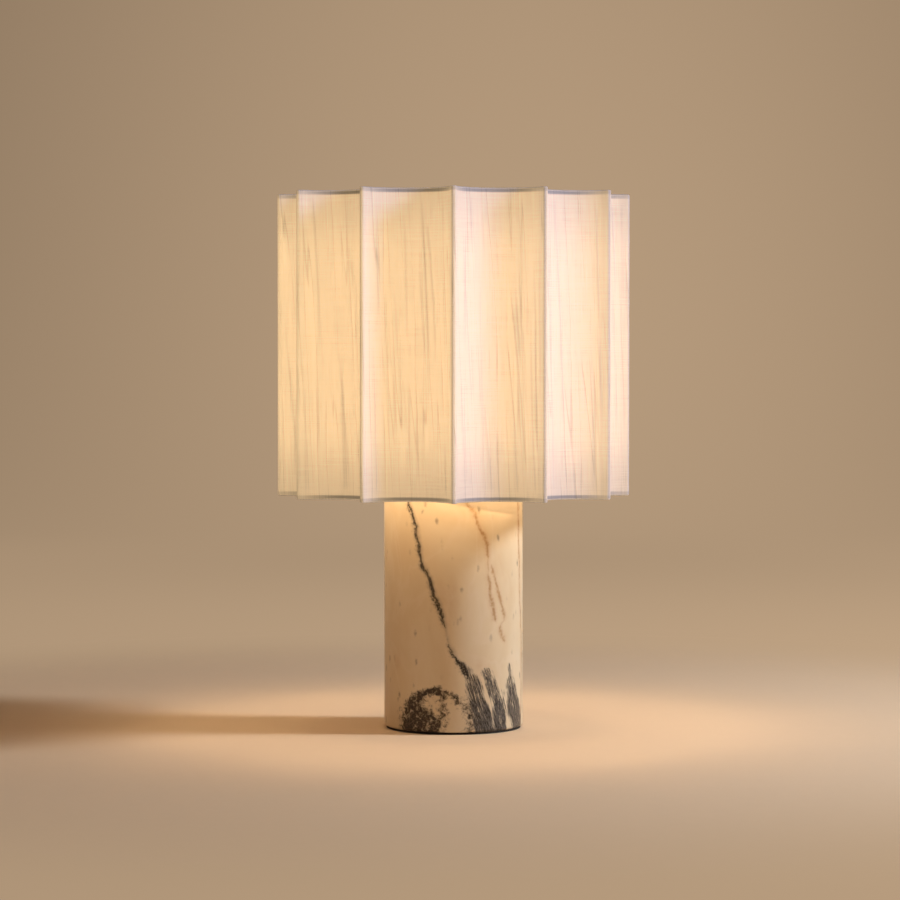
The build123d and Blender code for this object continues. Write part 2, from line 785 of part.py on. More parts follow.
screw_radius = body_radius
with BuildPart() as screw_shell:
    # Rolled thread: its turns are drawn as rounded rings, open enough for the bulb's cap to pass
    foot = body_roof
    turns = int((screw_top - body_top) / thread_pitch)
    crest = screw_radius - thread_depth
    disc(screw_radius, foot, screw_top - body_top, crest)
    for turn in range(turns):
        middle = foot + (turn + 0.7) * thread_pitch
        with BuildSketch(Plane.XZ):
            with Locations((crest, middle)):
                Circle(thread_depth - 0.25)
        revolve(axis=Axis.Z, mode=Mode.SUBTRACT)
    disc(crest, foot, screw_wall, contact_half_length + contact_hole_margin)
save(screw_shell, "screw_shell")

contact_top = bulb_tip - contact_drop
contact_foot = body_roof + contact_thickness / 2
with BuildPart() as centre_contact:
    with BuildSketch(Plane.XZ.offset(-contact_width / 2)):
        with BuildLine():
            FilletPolyline(
                (-contact_half_length, contact_foot),
                (-contact_flat, contact_foot),
                (-1, contact_top - contact_thickness / 2),
                (contact_flat, contact_top - contact_thickness / 2),
                radius=contact_bend_radius,
            )
            offset(amount=contact_thickness / 2, side=Side.BOTH)
        make_face()
    extrude(amount=contact_width)
save(centre_contact, "centre_contact")

# ---------------------------------------------------------------- rotary switch
with BuildPart() as switch_bush:
    with BuildSketch(along_y(drum_outer_end + drum_clearance, switch_axis)):
        Circle(switch_flange_diameter / 2)
    extrude(amount=bush_flange_end - drum_outer_end - drum_clearance)
    with BuildSketch(along_y(drum_outer_end + drum_clearance, switch_axis)):
        Circle(switch_bush_diameter / 2)
    extrude(amount=switch_bush_end - drum_outer_end - drum_clearance)
    with BuildSketch(along_y(drum_outer_end + drum_clearance, switch_axis)):
        Circle(spindle_diameter / 2 + spindle_clearance)
    extrude(amount=switch_bush_end - drum_outer_end, mode=Mode.SUBTRACT)
save(switch_bush, "switch_bush")

spindle_end = knob_start + knob_socket_depth
with BuildPart() as switch_spindle:
    with BuildSketch(along_y(drum_inner_end, switch_axis)):
        Circle(drum_diameter / 2)
    extrude(amount=drum_outer_end - drum_inner_end)
    with BuildSketch(along_y(drum_outer_end, switch_axis)):
        Circle(spindle_diameter / 2)
    extrude(amount=spindle_end - drum_outer_end)
save(switch_spindle, "switch_spindle")

with BuildPart() as switch_knob:
    with BuildSketch(along_y(knob_start, switch_axis)):
        Circle(knob_diameter / 2)
    extrude(amount=knob_length)
    fillet(switch_knob.edges().filter_by(GeomType.CIRCLE).sort_by(Axis.Y)[0], knob_round)
    with BuildSketch(along_y(knob_start, switch_axis)):
        with PolarLocations(knob_diameter / 2, knob_flutes):
            Circle(knob_flute_radius)
    extrude(amount=knob_length, mode=Mode.SUBTRACT)
    with BuildSketch(along_y(knob_start, switch_axis)):
        Circle(spindle_diameter / 2 + thread_gap)
    extrude(amount=knob_socket_depth, mode=Mode.SUBTRACT)
save(switch_knob, "switch_knob")

# ---------------------------------------------------------------- bulb
cap_radius = bulb_cap_diameter / 2
insulator_radius = insulator_diameter / 2
with BuildPart() as bulb_contact:
    disc(tip_diameter / 2, bulb_tip, tip_thickness)
    chamfer(bulb_contact.edges().sort_by(Axis.Z)[0], 0.5)
save(bulb_contact, "bulb_contact")

with BuildPart() as bulb_insulator:
    tip_radius = tip_diameter / 2
    turned(
        (0, bulb_tip + tip_thickness),
        (tip_radius, bulb_tip + tip_thickness),
        (insulator_radius, bulb_tip + insulator_top - 0.8),
        (insulator_radius, bulb_tip + insulator_top),
        (0, bulb_tip + insulator_top),
    )
save(bulb_insulator, "bulb_insulator")

with BuildPart() as bulb_cap:
    cap_foot = bulb_tip + insulator_top
    root = cap_radius - bulb_thread_depth
    turned(
        (insulator_radius - 0.6, cap_foot),
        (root, cap_foot + 1.0),
        (root, bulb_tip + bulb_cap_top),
        (cap_radius, bulb_tip + bulb_cap_top + 0.8),
        (cap_radius, bulb_tip + bulb_skirt_top),
        (cap_radius - bulb_cap_wall, bulb_tip + bulb_skirt_top),
        (root - bulb_cap_wall, bulb_tip + bulb_cap_top),
        (root - bulb_cap_wall, cap_foot + 1.4),
        (insulator_radius - 0.6, cap_foot + bulb_cap_wall),
    )
    cap_turns = int((bulb_cap_top - insulator_top) / thread_pitch)
    for turn in range(cap_turns):
        middle = cap_foot + (turn + 0.75) * thread_pitch
        with BuildSketch(Plane.XZ):
            with Locations((root, middle)):
                Circle(bulb_thread_depth)
            with Locations((root - bulb_cap_wall - bulb_thread_depth, middle)):
                Rectangle(2 * bulb_thread_depth, 3 * bulb_thread_depth, mode=Mode.SUBTRACT)
        revolve(axis=Axis.Z)
save(bulb_cap, "bulb_cap")

housing_foot = bulb_tip + bulb_skirt_top
housing_rim = bulb_tip + housing_top
with BuildPart() as bulb_housing:
    foot_radius = housing_foot_diameter / 2
    waist_radius = housing_waist_diameter / 2
    waist = bulb_tip + housing_waist_height
    turned(
        (cap_radius - bulb_cap_wall, housing_foot),
        (foot_radius, housing_foot),
        (foot_radius, housing_foot + 2),
        (waist_radius, waist),
        (globe_rim_radius, housing_rim),
        (globe_rim_radius - housing_wall, housing_rim),
        (waist_radius - housing_wall, waist),
        (foot_radius - housing_wall, housing_foot + 2.6),
        (cap_radius - bulb_cap_wall - 1, housing_foot + 1),
        (cap_radius - bulb_cap_wall - 1, housing_foot),
    )
save(bulb_housing, "bulb_housing")

with BuildPart() as bulb_globe:
    inner_globe = globe_radius - globe_wall
    inner_rim = sqrt(inner_globe**2 - (globe_centre - housing_rim) ** 2)
    globe_top = globe_centre + globe_radius
    with BuildSketch(Plane.XZ):
        with BuildLine():
            outer = ThreePointArc((globe_rim_radius, housing_rim), (globe_radius, globe_centre), (0, globe_top))
            inner = ThreePointArc((inner_rim, housing_rim), (inner_globe, globe_centre), (0, globe_top - globe_wall))
            Line(outer @ 0, inner @ 0)
            Line(outer @ 1, inner @ 1)
        make_face()
    revolve(axis=Axis.Z)
save(bulb_globe, "bulb_globe")

board_top = housing_rim - led_board_drop
board_bottom = board_top - led_board_thickness
housing_slope = (globe_rim_radius - waist_radius) / (housing_rim - waist)
board_radius = globe_rim_radius - housing_wall - led_board_gap - housing_slope * (housing_rim - board_bottom)
with BuildPart() as bulb_led_board:
    disc(board_radius, board_bottom, led_board_thickness)
    with BuildSketch(Plane.XY.offset(board_top)):
        with PolarLocations(led_circle_diameter / 2, led_count):
            Rectangle(led_size, led_size)
    extrude(amount=led_height)
save(bulb_led_board, "bulb_led_board")

driver_bottom = bulb_tip + driver_foot
with BuildPart() as bulb_driver_board:
    with BuildSketch(Plane.XY.offset(driver_bottom)):
        Rectangle(driver_width, driver_thickness)
    extrude(amount=board_bottom - driver_bottom)
    with BuildSketch(Plane.XY.offset(driver_bottom + capacitor_foot)):
        with Locations((0, (driver_thickness + capacitor_diameter) / 2 - capacitor_sunk)):
            Circle(capacitor_diameter / 2)
    extrude(amount=capacitor_length)
save(bulb_driver_board, "bulb_driver_board")


# ---------------------------------------------------------------- shade frame
def frame_ring(bottom):
    """A fluted steel ring, cut from plate."""
    with BuildPart() as ring:
        with BuildSketch(Plane.XY.offset(bottom)):
            with BuildLine():
                flute_outline(ring_inset)
            make_face()
            with BuildLine():
                flute_outline(ring_inset + ring_width)
            make_face(mode=Mode.SUBTRACT)
        extrude(amount=ring_thickness)
    return ring


save(frame_ring(top_ring_bottom), "shade_top_ring")
save(frame_ring(bottom_ring_bottom), "shade_bottom_ring")

with BuildPart() as shade_struts:
    with BuildSketch(Plane.XY.offset(bottom_ring_top)):
        with PolarLocations(strut_circle_radius, ridge_count):
            Circle(strut_radius)
    extrude(amount=top_ring_bottom - bottom_ring_top)
save(shade_struts, "shade_struts")

arm_level = hub_top + arm_diameter / 2 - arm_sunk
arm_end = valley_radius - ring_inset - ring_width / 2
arm_start = hub_diameter / 2 - arm_diameter
with BuildPart() as shade_spider:
    disc(hub_diameter / 2, hub_bottom, hub_thickness, stud_diameter / 2 + hub_hole_clearance)
    for arm in range(spider_arms):
        valley = (arm * ridge_count // spider_arms + 0.5) * ridge_pitch
        radial = Plane(origin=(0, 0, 0), x_dir=at(1, valley), z_dir=at(1, valley - 90))
        with BuildLine(radial) as arm_route:
            FilletPolyline(
                (arm_start, arm_level),
                (arm_end - arm_reach, arm_level),
                (arm_end, top_ring_bottom - arm_upright),
                (arm_end, top_ring_bottom),
                radius=arm_bend,
            )
        foot_point = at(arm_start, valley)
        foot_point.Z = arm_level
        with BuildSketch(Plane(origin=foot_point, z_dir=at(1, valley))):
            Circle(arm_diameter / 2)
        sweep(path=arm_route.line)
save(shade_spider, "shade_spider")


# ---------------------------------------------------------------- shade cover
def cover_layer(ridge, outer, inner, bottom, height):
    """Adds the cloth between two insets of one flute, from ridge to ridge."""
    with BuildSketch(Plane.XY.offset(bottom)) as layer:
        with BuildLine():
            flute_line(outer, ridge)
            flute_line(inner, ridge)
            Line(flute_end(outer, ridge), flute_end(inner, ridge))
            Line(flute_end(outer, ridge + 1), flute_end(inner, ridge + 1))
        make_face()
    extrude(layer.sketch, amount=height)


def cover_panel(ridge):
    """One cloth panel, sewn along two ridges, with its hems turned in over both rings."""
    with BuildPart() as panel:
        cover_layer(ridge, 0, cloth_thickness, shade_bottom, shade_height)
        for fold, leaf in (
            (shade_bottom, shade_bottom),
            (shade_top - cloth_thickness, shade_top - hem_height),
        ):
            cover_layer(ridge, 0, hem_inset, fold, cloth_thickness)
            cover_layer(ridge, hem_inset - cloth_thickness, hem_inset, leaf, hem_height)
    return panel


for ridge in range(ridge_count):
    save(cover_panel(ridge), f"cover_panel_{ridge + 1:02d}")

# ---------------------------------------------------------------- finial
hub_hole_radius = stud_diameter / 2 + hub_hole_clearance
with BuildPart() as finial_washer:
    disc(finial_washer_diameter / 2, washer_foot, finial_washer_thickness, hub_hole_radius)
save(finial_washer, "finial_washer")

with BuildPart() as finial:
    bore = stud_diameter / 2 + thread_clearance
    drum = finial_diameter / 2
    neck = finial_neck_diameter / 2
    flange_top = finial_foot + finial_flange_thickness
    drum_foot = flange_top + finial_neck_height
    drum_top = drum_foot + finial_drum_height
    crest = drum_top + finial_crown_height
    turned(
        (bore, finial_foot),
        (drum, finial_foot),
        (drum, flange_top - 0.6),
        (drum - 0.8, flange_top),
        (neck, flange_top + 0.8),
        (neck, drum_foot - 0.5),
        (drum - 0.8, drum_foot),
        (drum, drum_foot + 0.8),
        (drum, drum_top - 0.8),
        (drum - 1.2, drum_top),
        (drum * 0.45, crest - 0.3),
        (0, crest),
        (0, crest - finial_roof),
        (bore, crest - finial_roof),
    )
    with BuildSketch(Plane.XY.offset(drum_foot)):
        with PolarLocations(drum + groove_radius * 0.3, finial_grooves):
            Circle(groove_radius)
    extrude(amount=finial_drum_height, mode=Mode.SUBTRACT)
save(finial, "finial")
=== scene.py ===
import bpy
import numpy as np
from math import radians, sin, cos, atan2, pi
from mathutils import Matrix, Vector


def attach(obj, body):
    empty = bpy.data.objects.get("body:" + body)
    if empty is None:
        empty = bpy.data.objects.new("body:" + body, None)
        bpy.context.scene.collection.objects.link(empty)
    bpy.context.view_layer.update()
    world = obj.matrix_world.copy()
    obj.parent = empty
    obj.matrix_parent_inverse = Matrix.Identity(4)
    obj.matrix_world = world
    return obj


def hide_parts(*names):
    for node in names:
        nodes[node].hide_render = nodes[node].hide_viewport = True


# Column table lamp: marble column, fluted linen shade, one lit bulb. Metres, Z up, front faces -Y.
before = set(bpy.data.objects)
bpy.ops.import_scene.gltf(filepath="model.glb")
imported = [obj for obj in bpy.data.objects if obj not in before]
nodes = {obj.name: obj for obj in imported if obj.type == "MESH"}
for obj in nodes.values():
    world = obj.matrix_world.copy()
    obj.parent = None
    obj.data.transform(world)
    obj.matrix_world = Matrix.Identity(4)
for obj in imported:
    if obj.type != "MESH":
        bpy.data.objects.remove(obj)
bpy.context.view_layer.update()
print("frame loaded:", len(nodes), "nodes")


# camera: a long lens a little under the middle of the shade, looking slightly down
camera = {
    "lens": 121.2, "sensor": 36.0, "away": 2.845, "side": -0.0033, "height": 0.355, "down": 1.9, "clip": 60.0,
}
cameraData = bpy.data.cameras.new("photoCamera")
cameraData.lens = camera["lens"]
cameraData.sensor_width = camera["sensor"]
cameraData.clip_end = camera["clip"]
photoCamera = bpy.data.objects.new("photoCamera", cameraData)
photoCamera.location = (camera["side"], -camera["away"], camera["height"])
photoCamera.rotation_euler = (radians(90.0 - camera["down"]), 0.0, 0.0)
bpy.context.scene.collection.objects.link(photoCamera)
bpy.context.scene.camera = photoCamera
bpy.context.scene.view_settings.view_transform = "Standard"
print("camera placed")


# helpers for node trees: they work on the tree that startTree was last given
building = {}


# Starts on a tree. Where an output is named, the tree is emptied and given that output.
def startTree(tree, output=None):
    building["tree"] = tree
    if output is None:
        return None
    tree.nodes.clear()
    return add(output)


# Feeds a socket, by name or number, from an output, or sets it to a value.
def feed(node, socket, value):
    if isinstance(value, bpy.types.NodeSocket):
        building["tree"].links.new(value, node.inputs[socket])
    else:
        node.inputs[socket].default_value = value


# One shader node, with its settings and its inputs fed.
def add(kind, inputs=None, **settings):
    made = building["tree"].nodes.new("ShaderNode" + kind)
    for name, value in settings.items():
        setattr(made, name, value)
    for socket, value in (inputs or {}).items():
        feed(made, socket, value)
    return made


# One Math node's output.
def calc(operation, a, b=0.0, c=0.0):
    return add("Math", {0: a, 1: b, 2: c}, operation=operation).outputs[0]


# a less b.
def less(a, b):
    return calc("SUBTRACT", a, b)


# a times b.
def times(a, b):
    return calc("MULTIPLY", a, b)


# base with share times value added to it.
def plus(base, value, share):
    return calc("MULTIPLY_ADD", value, share, base)


# How far a lies from b, either way.
def apart(a, b):
    return calc("ABSOLUTE", less(a, b))


# Colour a mixed towards colour b by factor.
def tint(factor, a, b, mode="MIX"):
    made = add("Mix", {0: factor}, data_type="RGBA", blend_type=mode)
    for socket, value in ((6, a), (7, b)):
        feed(made, socket, value if isinstance(value, bpy.types.NodeSocket) else (*value, 1.0))
    return made.outputs[2]


# A colour times a level.
def shaded(level, colour):
    return tint(1.0, level, colour, "MULTIPLY")


# value from low..high carried smoothly to bottom..top.
def spread(value, low, high, bottom=0.0, top=1.0):
    sockets = {0: value, 1: low, 2: high, 3: bottom, 4: top}
    return add("MapRange", sockets, interpolation_type="SMOOTHSTEP").outputs[0]


# The three coordinates of a place.
def axesOf(place):
    return add("SeparateXYZ", {0: place}).outputs


# A place from its three coordinates.
def placeOf(x, y, z=0.0):
    return add("CombineXYZ", {0: x, 1: y, 2: z}).outputs[0]


# place scaled by a different amount along each axis, then turned and shifted.
def stretched(place, scale, turn=(0.0, 0.0, 0.0), shift=(0.0, 0.0, 0.0)):
    sockets = {"Vector": place, "Location": shift, "Rotation": turn, "Scale": scale}
    return add("Mapping", sockets).outputs[0]


# Distance from the Z axis, times scale.
def fromAxis(place, scale=1.0):
    flat = stretched(place, (scale, scale, 0.0))
    return add("VectorMath", {0: flat}, operation="LENGTH").outputs["Value"]


# Noise about its middle of 0.5.
def grain(place, scale, detail=3.0, roughness=0.55, distortion=0.0):
    sockets = {"Vector": place, "Scale": scale, "Detail": detail, "Roughness": roughness}
    return add("TexNoise", {**sockets, "Distortion": distortion}).outputs["Fac"]


# Noise drawn out by a different scale along each axis.
def drawn(place, scale, detail=3.0, roughness=0.55, distortion=0.0, **moved):
    return grain(stretched(place, scale, **moved), 1.0, detail, roughness, distortion)


# A normal that follows a height's rises: strength, and depth in millimetres.
def reliefOf(height, strength, depth):
    return add("Bump", {"Height": height, "Strength": strength, "Distance": 0.001 * depth}).outputs[0]


# An empty node material: returns it, its output and Object coordinates.
def startMaterial(name):
    made = bpy.data.materials.new(name)
    made.use_nodes = True
    output = startTree(made.node_tree, "OutputMaterial")
    return made, output, add("TexCoord").outputs["Object"]


# Puts a material on CAD nodes.
def dress(material, *names):
    for name in names:
        for materialSlot in nodes[name].material_slots:
            materialSlot.material = material


# helpers for surfaces
# A mesh object from whole arrays of points and of faces with three or four corners.
def meshObject(name, points, faces):
    mesh = bpy.data.meshes.new(name)
    corners = faces.ravel()
    width = faces.shape[1]
    mesh.vertices.add(len(points))
    mesh.vertices.foreach_set("co", np.ascontiguousarray(points, np.float32).ravel())
    mesh.loops.add(len(corners))
    mesh.loops.foreach_set("vertex_index", corners.astype(np.int32))
    mesh.polygons.add(len(faces))
    mesh.polygons.foreach_set("loop_start", np.arange(0, len(corners), width, dtype=np.int32))
    mesh.polygons.foreach_set("use_smooth", np.full(len(faces), True))
    mesh.update(calc_edges=True)
    mesh.validate()
    made = bpy.data.objects.new(name, mesh)
    bpy.context.scene.collection.objects.link(made)
    return made


# Quads of a grid whose point (row, column) is number row * columns + column.
def gridFaces(rows, columns, closedRows=False):
    row = np.arange(rows if closedRows else rows - 1)[:, None]
    column = np.arange(columns - 1)[None, :]
    here = row * columns + column
    above = (row + 1) % rows * columns + column
    return np.stack([here, here + 1, above + 1, above], axis=-1).reshape(-1, 4)


# 0 up to start, then a straight rise to 1 over that length.
def ramp(value, start, length):
    return np.clip((value - start) / length, 0.0, 1.0)


# 1 where value is 0, and soon 0 beside it: exp(-(value / width) squared).
def bell(value, width):
    return np.exp(-(value / width) ** 2)


# stage: a wide beige floor that curves up into a wall all round. Fades are where a change starts and ends.
stage = {
    "floorRadius": 3.0, "curve": 1.6, "wallTop": 5.0, "curveFrom": 0.4, "wallFrom": 0.8, "rings": 72, "sides": 96,
    "floorColour": (0.93, 0.73, 0.54), "grainScale": 60.0, "grainTone": 0.015, "wallColour": (0.470, 0.328, 0.206),
    # painted light and shade: waves, brightest and waveDepth swing the painted level round the bearing, the near
    # values brighten the floor near the lamp, topShade darkens the wall higher up
    "litRadius": 0.42, "paintedRadius": 0.95, "waves": 7.0, "brightest": 87.0, "waveDepth": 0.20,
    "nearLevel": 0.86, "nearDepth": 0.13, "nearBrightest": 10.0, "nearPaintedLight": 1.15, "nearFades": (0.7, 2.4),
    "wallFades": (2.2, 4.5), "topShade": 0.82, "topFades": (0.2, 2.2),
}


# Points (ring, side): a flat floor out to floorRadius, a quarter round, then a wall, all turned about Z.
def sweepSurface():
    along = np.linspace(0.0, 1.0, stage["rings"])[1:, None]
    turn = np.linspace(0.0, 2.0 * pi, stage["sides"] + 1)[None, :-1]
    onFloor = ramp(along, 0.0, stage["curveFrom"])
    quarter = ramp(along, stage["curveFrom"], stage["wallFrom"] - stage["curveFrom"]) * pi / 2.0
    rise = ramp(along, stage["wallFrom"], 1.0 - stage["wallFrom"])
    radius = stage["floorRadius"] * onFloor + stage["curve"] * np.sin(quarter)
    height = stage["curve"] * (1.0 - np.cos(quarter)) + (stage["wallTop"] - stage["curve"]) * rise
    return np.stack([radius * np.cos(turn), radius * np.sin(turn), height + 0.0 * turn], axis=-1)


# A level that swings with the bearing: middle + depth * cos(count * (bearing - brightest)).
def swing(bearing, count, brightest, middle, depth):
    turned = times(less(bearing, radians(brightest)), count)
    return plus(middle, calc("COSINE", turned), depth)


sweepPoints = sweepSurface()
ringCount, sideCount = sweepPoints.shape[:2]
# quads of a grid one column wider, whose last column is made the first one again
sweepQuads = gridFaces(ringCount, sideCount + 1)
sweepQuads = sweepQuads // (sideCount + 1) * sideCount + sweepQuads % (sideCount + 1) % sideCount
sweepPoints = np.concatenate([sweepPoints.reshape(-1, 3), [[0.0, 0.0, 0.0]]])
side = np.arange(sideCount)
middleFaces = np.stack([np.full(sideCount, len(sweepPoints) - 1), side, (side + 1) % sideCount], axis=-1)
backdrop = meshObject("backdrop", sweepPoints, sweepQuads)
floorMiddle = meshObject("floorMiddle", sweepPoints, middleFaces)

# near the lamp the floor is lit as it is, further out it and the wall are painted, for rays that are seen. The
# painted
# level is painted light and shade: it swings round the bearing, is brighter on the floor nearer the lamp and
# darker higher up the wall
stageMaterial, output, place = startMaterial("beigeSweep")
axes = axesOf(place)
away = fromAxis(place)
bearing = calc("ARCTAN2", axes[1], axes[0])
wallPaintedLevel = swing(bearing, stage["waves"], stage["brightest"], 1.0 - stage["waveDepth"], stage["waveDepth"])
floorPaintedLevel = swing(bearing, 1.0, stage["nearBrightest"], stage["nearLevel"], stage["nearDepth"])
floorPaintedLevel = times(floorPaintedLevel, spread(away, *stage["nearFades"], stage["nearPaintedLight"], 1.0))
onWall = spread(away, *stage["wallFades"])
onFloor = less(1.0, onWall)
level = calc("ADD", times(wallPaintedLevel, onWall), times(floorPaintedLevel, onFloor))
level = times(level, spread(axes[2], *stage["topFades"], 1.0, stage["topShade"]))
lightPath = add("LightPath").outputs
seen = calc("MAXIMUM", lightPath["Is Camera Ray"],
            calc("MAXIMUM", lightPath["Is Glossy Ray"], lightPath["Is Transmission Ray"]))
paintShare = times(seen, spread(away, stage["litRadius"], stage["paintedRadius"]))
floorTone = tint(grain(place, stage["grainScale"], 4.0),
                 [c * (1.0 - stage["grainTone"]) for c in stage["floorColour"]],
                 [min(c * (1.0 + stage["grainTone"]), 1.0) for c in stage["floorColour"]])
lit = add("BsdfDiffuse", {"Color": floorTone}).outputs[0]
painted = add("Emission", {"Color": shaded(level, stage["wallColour"]), "Strength": 1.0}).outputs[0]
mixed = add("MixShader", {0: paintShare, 1: lit, 2: painted}).outputs[0]
feed(output, "Surface", mixed)
for piece in (backdrop, floorMiddle):
    piece.data.materials.append(stageMaterial)
print("stage made")


# lights: a soft key from the right, one like it for the cloth alone, the bulb's own light, two weak ones under the
# shade and a weak fill. Turns and rises are in degrees.
lights = {
    "away": 2.3, "aim": (0.0, 0.0, 0.25),
    "keyTurn": 4.0, "keyRise": 25.0, "keySize": 0.38, "keyPower": 39.0, "keyColour": (0.93, 0.97, 1.0),
    "shadeTurn": 28.0, "shadeRise": 24.0, "shadeSize": 0.70, "shadePower": 31.0, "shadeColour": (0.55, 0.62, 1.0),
    "bulbCentre": (0.0, 0.0, 0.337), "bulbRadius": 0.042, "bulbPower": 8.5, "bulbColour": (1.0, 0.72, 0.42),
    "underRadius": 0.118, "underColour": (1.0, 0.64, 0.33),
    "underPlace": (0.0, 0.0, 0.2235), "underAim": (0.0, 0.0, 0.0), "underPower": 0.20,
    "columnPlace": (-0.055, 0.0, 0.2235), "columnAim": (-0.1, 0.0, 0.0), "columnPower": 0.13,
    "fillColour": (1.0, 0.86, 0.70), "fillStrength": 0.14,
}


# A lamp at place, turned to look at aim, that the camera doesn't see.
def addLight(name, kind, place, power, colour, aim=None, **settings):
    data = bpy.data.lights.new(name, kind)
    data.energy = power
    data.color = colour
    for key, value in settings.items():
        setattr(data, key, value)
    made = bpy.data.objects.new(name, data)
    made.location = place
    if aim is not None:
        made.rotation_euler = (Vector(aim) - Vector(place)).to_track_quat("-Z", "Y").to_euler()
    made.visible_camera = False
    bpy.context.scene.collection.objects.link(made)
    return made


# A square lamp on the right, turned that far towards the front and raised that far.
def squareLight(name):
    turn, rise = radians(-lights[name + "Turn"]), radians(lights[name + "Rise"])
    place = lights["away"] * np.array([cos(rise) * cos(turn), cos(rise) * sin(turn), sin(rise)]) + lights["aim"]
    return addLight(name + "Light", "AREA", place, lights[name + "Power"], lights[name + "Colour"], lights["aim"],
                    size=lights[name + "Size"])


# A round lamp that rides under the shade, for what the lit inside of the shade sends down.
def roundLight(name):
    made = addLight(name + "Light", "AREA", lights[name + "Place"], lights[name + "Power"], lights["underColour"],
                    lights[name + "Aim"], shape="DISK", size=2.0 * lights["underRadius"])
    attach(made, "shade")
    return made


keyLight, shadeLight = squareLight("key"), squareLight("shade")
underLight, columnLight = roundLight("under"), roundLight("column")
bulbLight = addLight("bulbLight", "POINT", lights["bulbCentre"], lights["bulbPower"], lights["bulbColour"],
                     shadow_soft_size=lights["bulbRadius"])
bulbLight.data.use_nodes = True
startTree(bulbLight.data.node_tree)
falloff = add("LightFalloff", {"Strength": 1.0}).outputs["Linear"]  # so the cloth is lit more evenly
feed(bulbLight.data.node_tree.nodes["Emission"], "Strength", falloff)
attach(bulbLight, "bulb")
nodes["bulb_globe"].visible_shadow = False  # the lamp inside it shines through

world = bpy.data.worlds.new("studio")
bpy.context.scene.world = world
world.use_nodes = True
output = startTree(world.node_tree, "OutputWorld")
fill = add("Background", {"Color": (*lights["fillColour"], 1.0), "Strength": lights["fillStrength"]})
shown = add("Background", {"Color": (*stage["wallColour"], 1.0), "Strength": stage["topShade"]})
seen = add("LightPath").outputs["Is Camera Ray"]
mixed = add("MixShader", {0: seen, 1: fill.outputs[0], 2: shown.outputs[0]})
feed(output, "Surface", mixed.outputs[0])
print("lights placed")


# shade cover: twelve linen panels, each a closed thin shell on a grid. Sizes are in millimetres. A calm pair is
# where creases or the lap start, and the length over which they come in.
linen = {
    "ridges": 12, "ridgeRadius": 2.4, "outerRadius": 165.0, "valleyRadius": 126.5,
    "bottom": 218.0, "top": 500.0, "cloth": 0.8, "rimRound": 1.2, "hemInset": 5.8, "hemHeight": 4.6,
    "ridgeSteps": 6, "lastStep": 0.35, "fluteSteps": 176, "rowStep": 2.9,
    "seamAllowance": 8.0, "seamStart": 3.6, "seamThickness": 0.55, "seamRise": 2.0, "seamFall": 2.5,
    "seamGroove": 0.28, "seamGrooveWidth": 0.45, "seamMark": 1.3, "seamShadeWidth": 1.5,
    "creases": 17, "creaseDepth": 0.34, "creaseShares": (0.35, 1.0), "creaseReach": 0.93, "creaseEnds": 15.0,
    "creaseLengths": (45.0, 150.0), "creaseWidths": (0.62, 0.95), "creaseSlant": -0.045, "slantSpread": 0.03,
    "bowSpread": 1.6, "creaseFade": 1.6, "dipDepth": 0.75, "dipPlace": 2.1, "dipWidth": 1.3,
    "waves": 5, "wavesDepth": 0.40, "wavesAcross": (9.0, 20.0), "wavesUp": (45.0, 120.0), "wavesStart": (0, 6),
    "calmSeam": (4.5, 6.0), "calmHem": (4.0, 10.0), "calmLap": (5.0, 3.0),
    "stitchPitch": 2.6, "stitchDepth": 0.24, "stitchReach": 2.0, "weaveScale": 0.01, "weaveStep": 3.7, "seed": 41,
}


# Radii, centres, angles and lengths of half a flute: its arc meets the round at the ridge and the valley circle.
def fluteShape():
    half = pi / linen["ridges"]
    strutCircle = linen["outerRadius"] - linen["ridgeRadius"]
    valley = linen["valleyRadius"]
    chord = valley**2 + strutCircle**2 - 2.0 * valley * strutCircle * cos(half)
    radius = (chord - linen["ridgeRadius"]**2) / (2.0 * (strutCircle * cos(half) + linen["ridgeRadius"] - valley))
    centre = valley + radius
    strut = np.array([strutCircle * cos(half), strutCircle * sin(half)])  # the strut at the higher angle
    lean = atan2(strut[1], centre - strut[0])  # of the meeting point, about the flute's centre, from the valley
    arc = radius * lean
    return {"half": half, "strut": strut, "radius": radius, "centre": centre, "lean": lean, "arc": arc,
            "span": arc + linen["ridgeRadius"] * (pi - half - lean)}


flute = fluteShape()


# Points of a flute's line about +X, steps from -1 to 1 across, at each inset behind the outer face.
# Up to the ridge radius: a ridge arc of (ridgeRadius - inset), the flute's arc of (radius + inset), a ridge arc.
# Further in: only the flute's arc, as far as the planes of the ridges.
def fluteLine(steps, inset):
    centre, strut, ridge = flute["centre"], flute["strut"], linen["ridgeRadius"]
    side = np.sign(steps)
    along = np.abs(steps) * flute["span"]  # distance from the valley at the outer face
    lean = np.minimum(along / flute["radius"], flute["lean"])
    over = np.clip((along - flute["arc"]) / ridge, 0.0, None)
    radius = flute["radius"] + inset
    x, y = centre - radius * np.cos(lean), radius * np.sin(lean)
    # the ridge's arc starts facing the flute's centre and turns out to the plane of the ridge
    facing = atan2(-strut[1], centre - strut[0])
    x = np.where(over > 0.0, strut[0] + (ridge - inset) * np.cos(facing + over), x)
    y = np.where(over > 0.0, strut[1] + (ridge - inset) * np.sin(facing + over), y)
    gap = centre * sin(flute["half"])
    deepLean = pi / 2.0 - flute["half"] - np.arccos(np.clip(gap / radius, -1.0, 1.0))
    deepX = centre - radius * np.cos(deepLean * np.abs(steps))
    deepY = radius * np.sin(deepLean * np.abs(steps))
    deep = inset > ridge
    return np.where(deep, deepX, x), side * np.where(deep, deepY, y), side * along


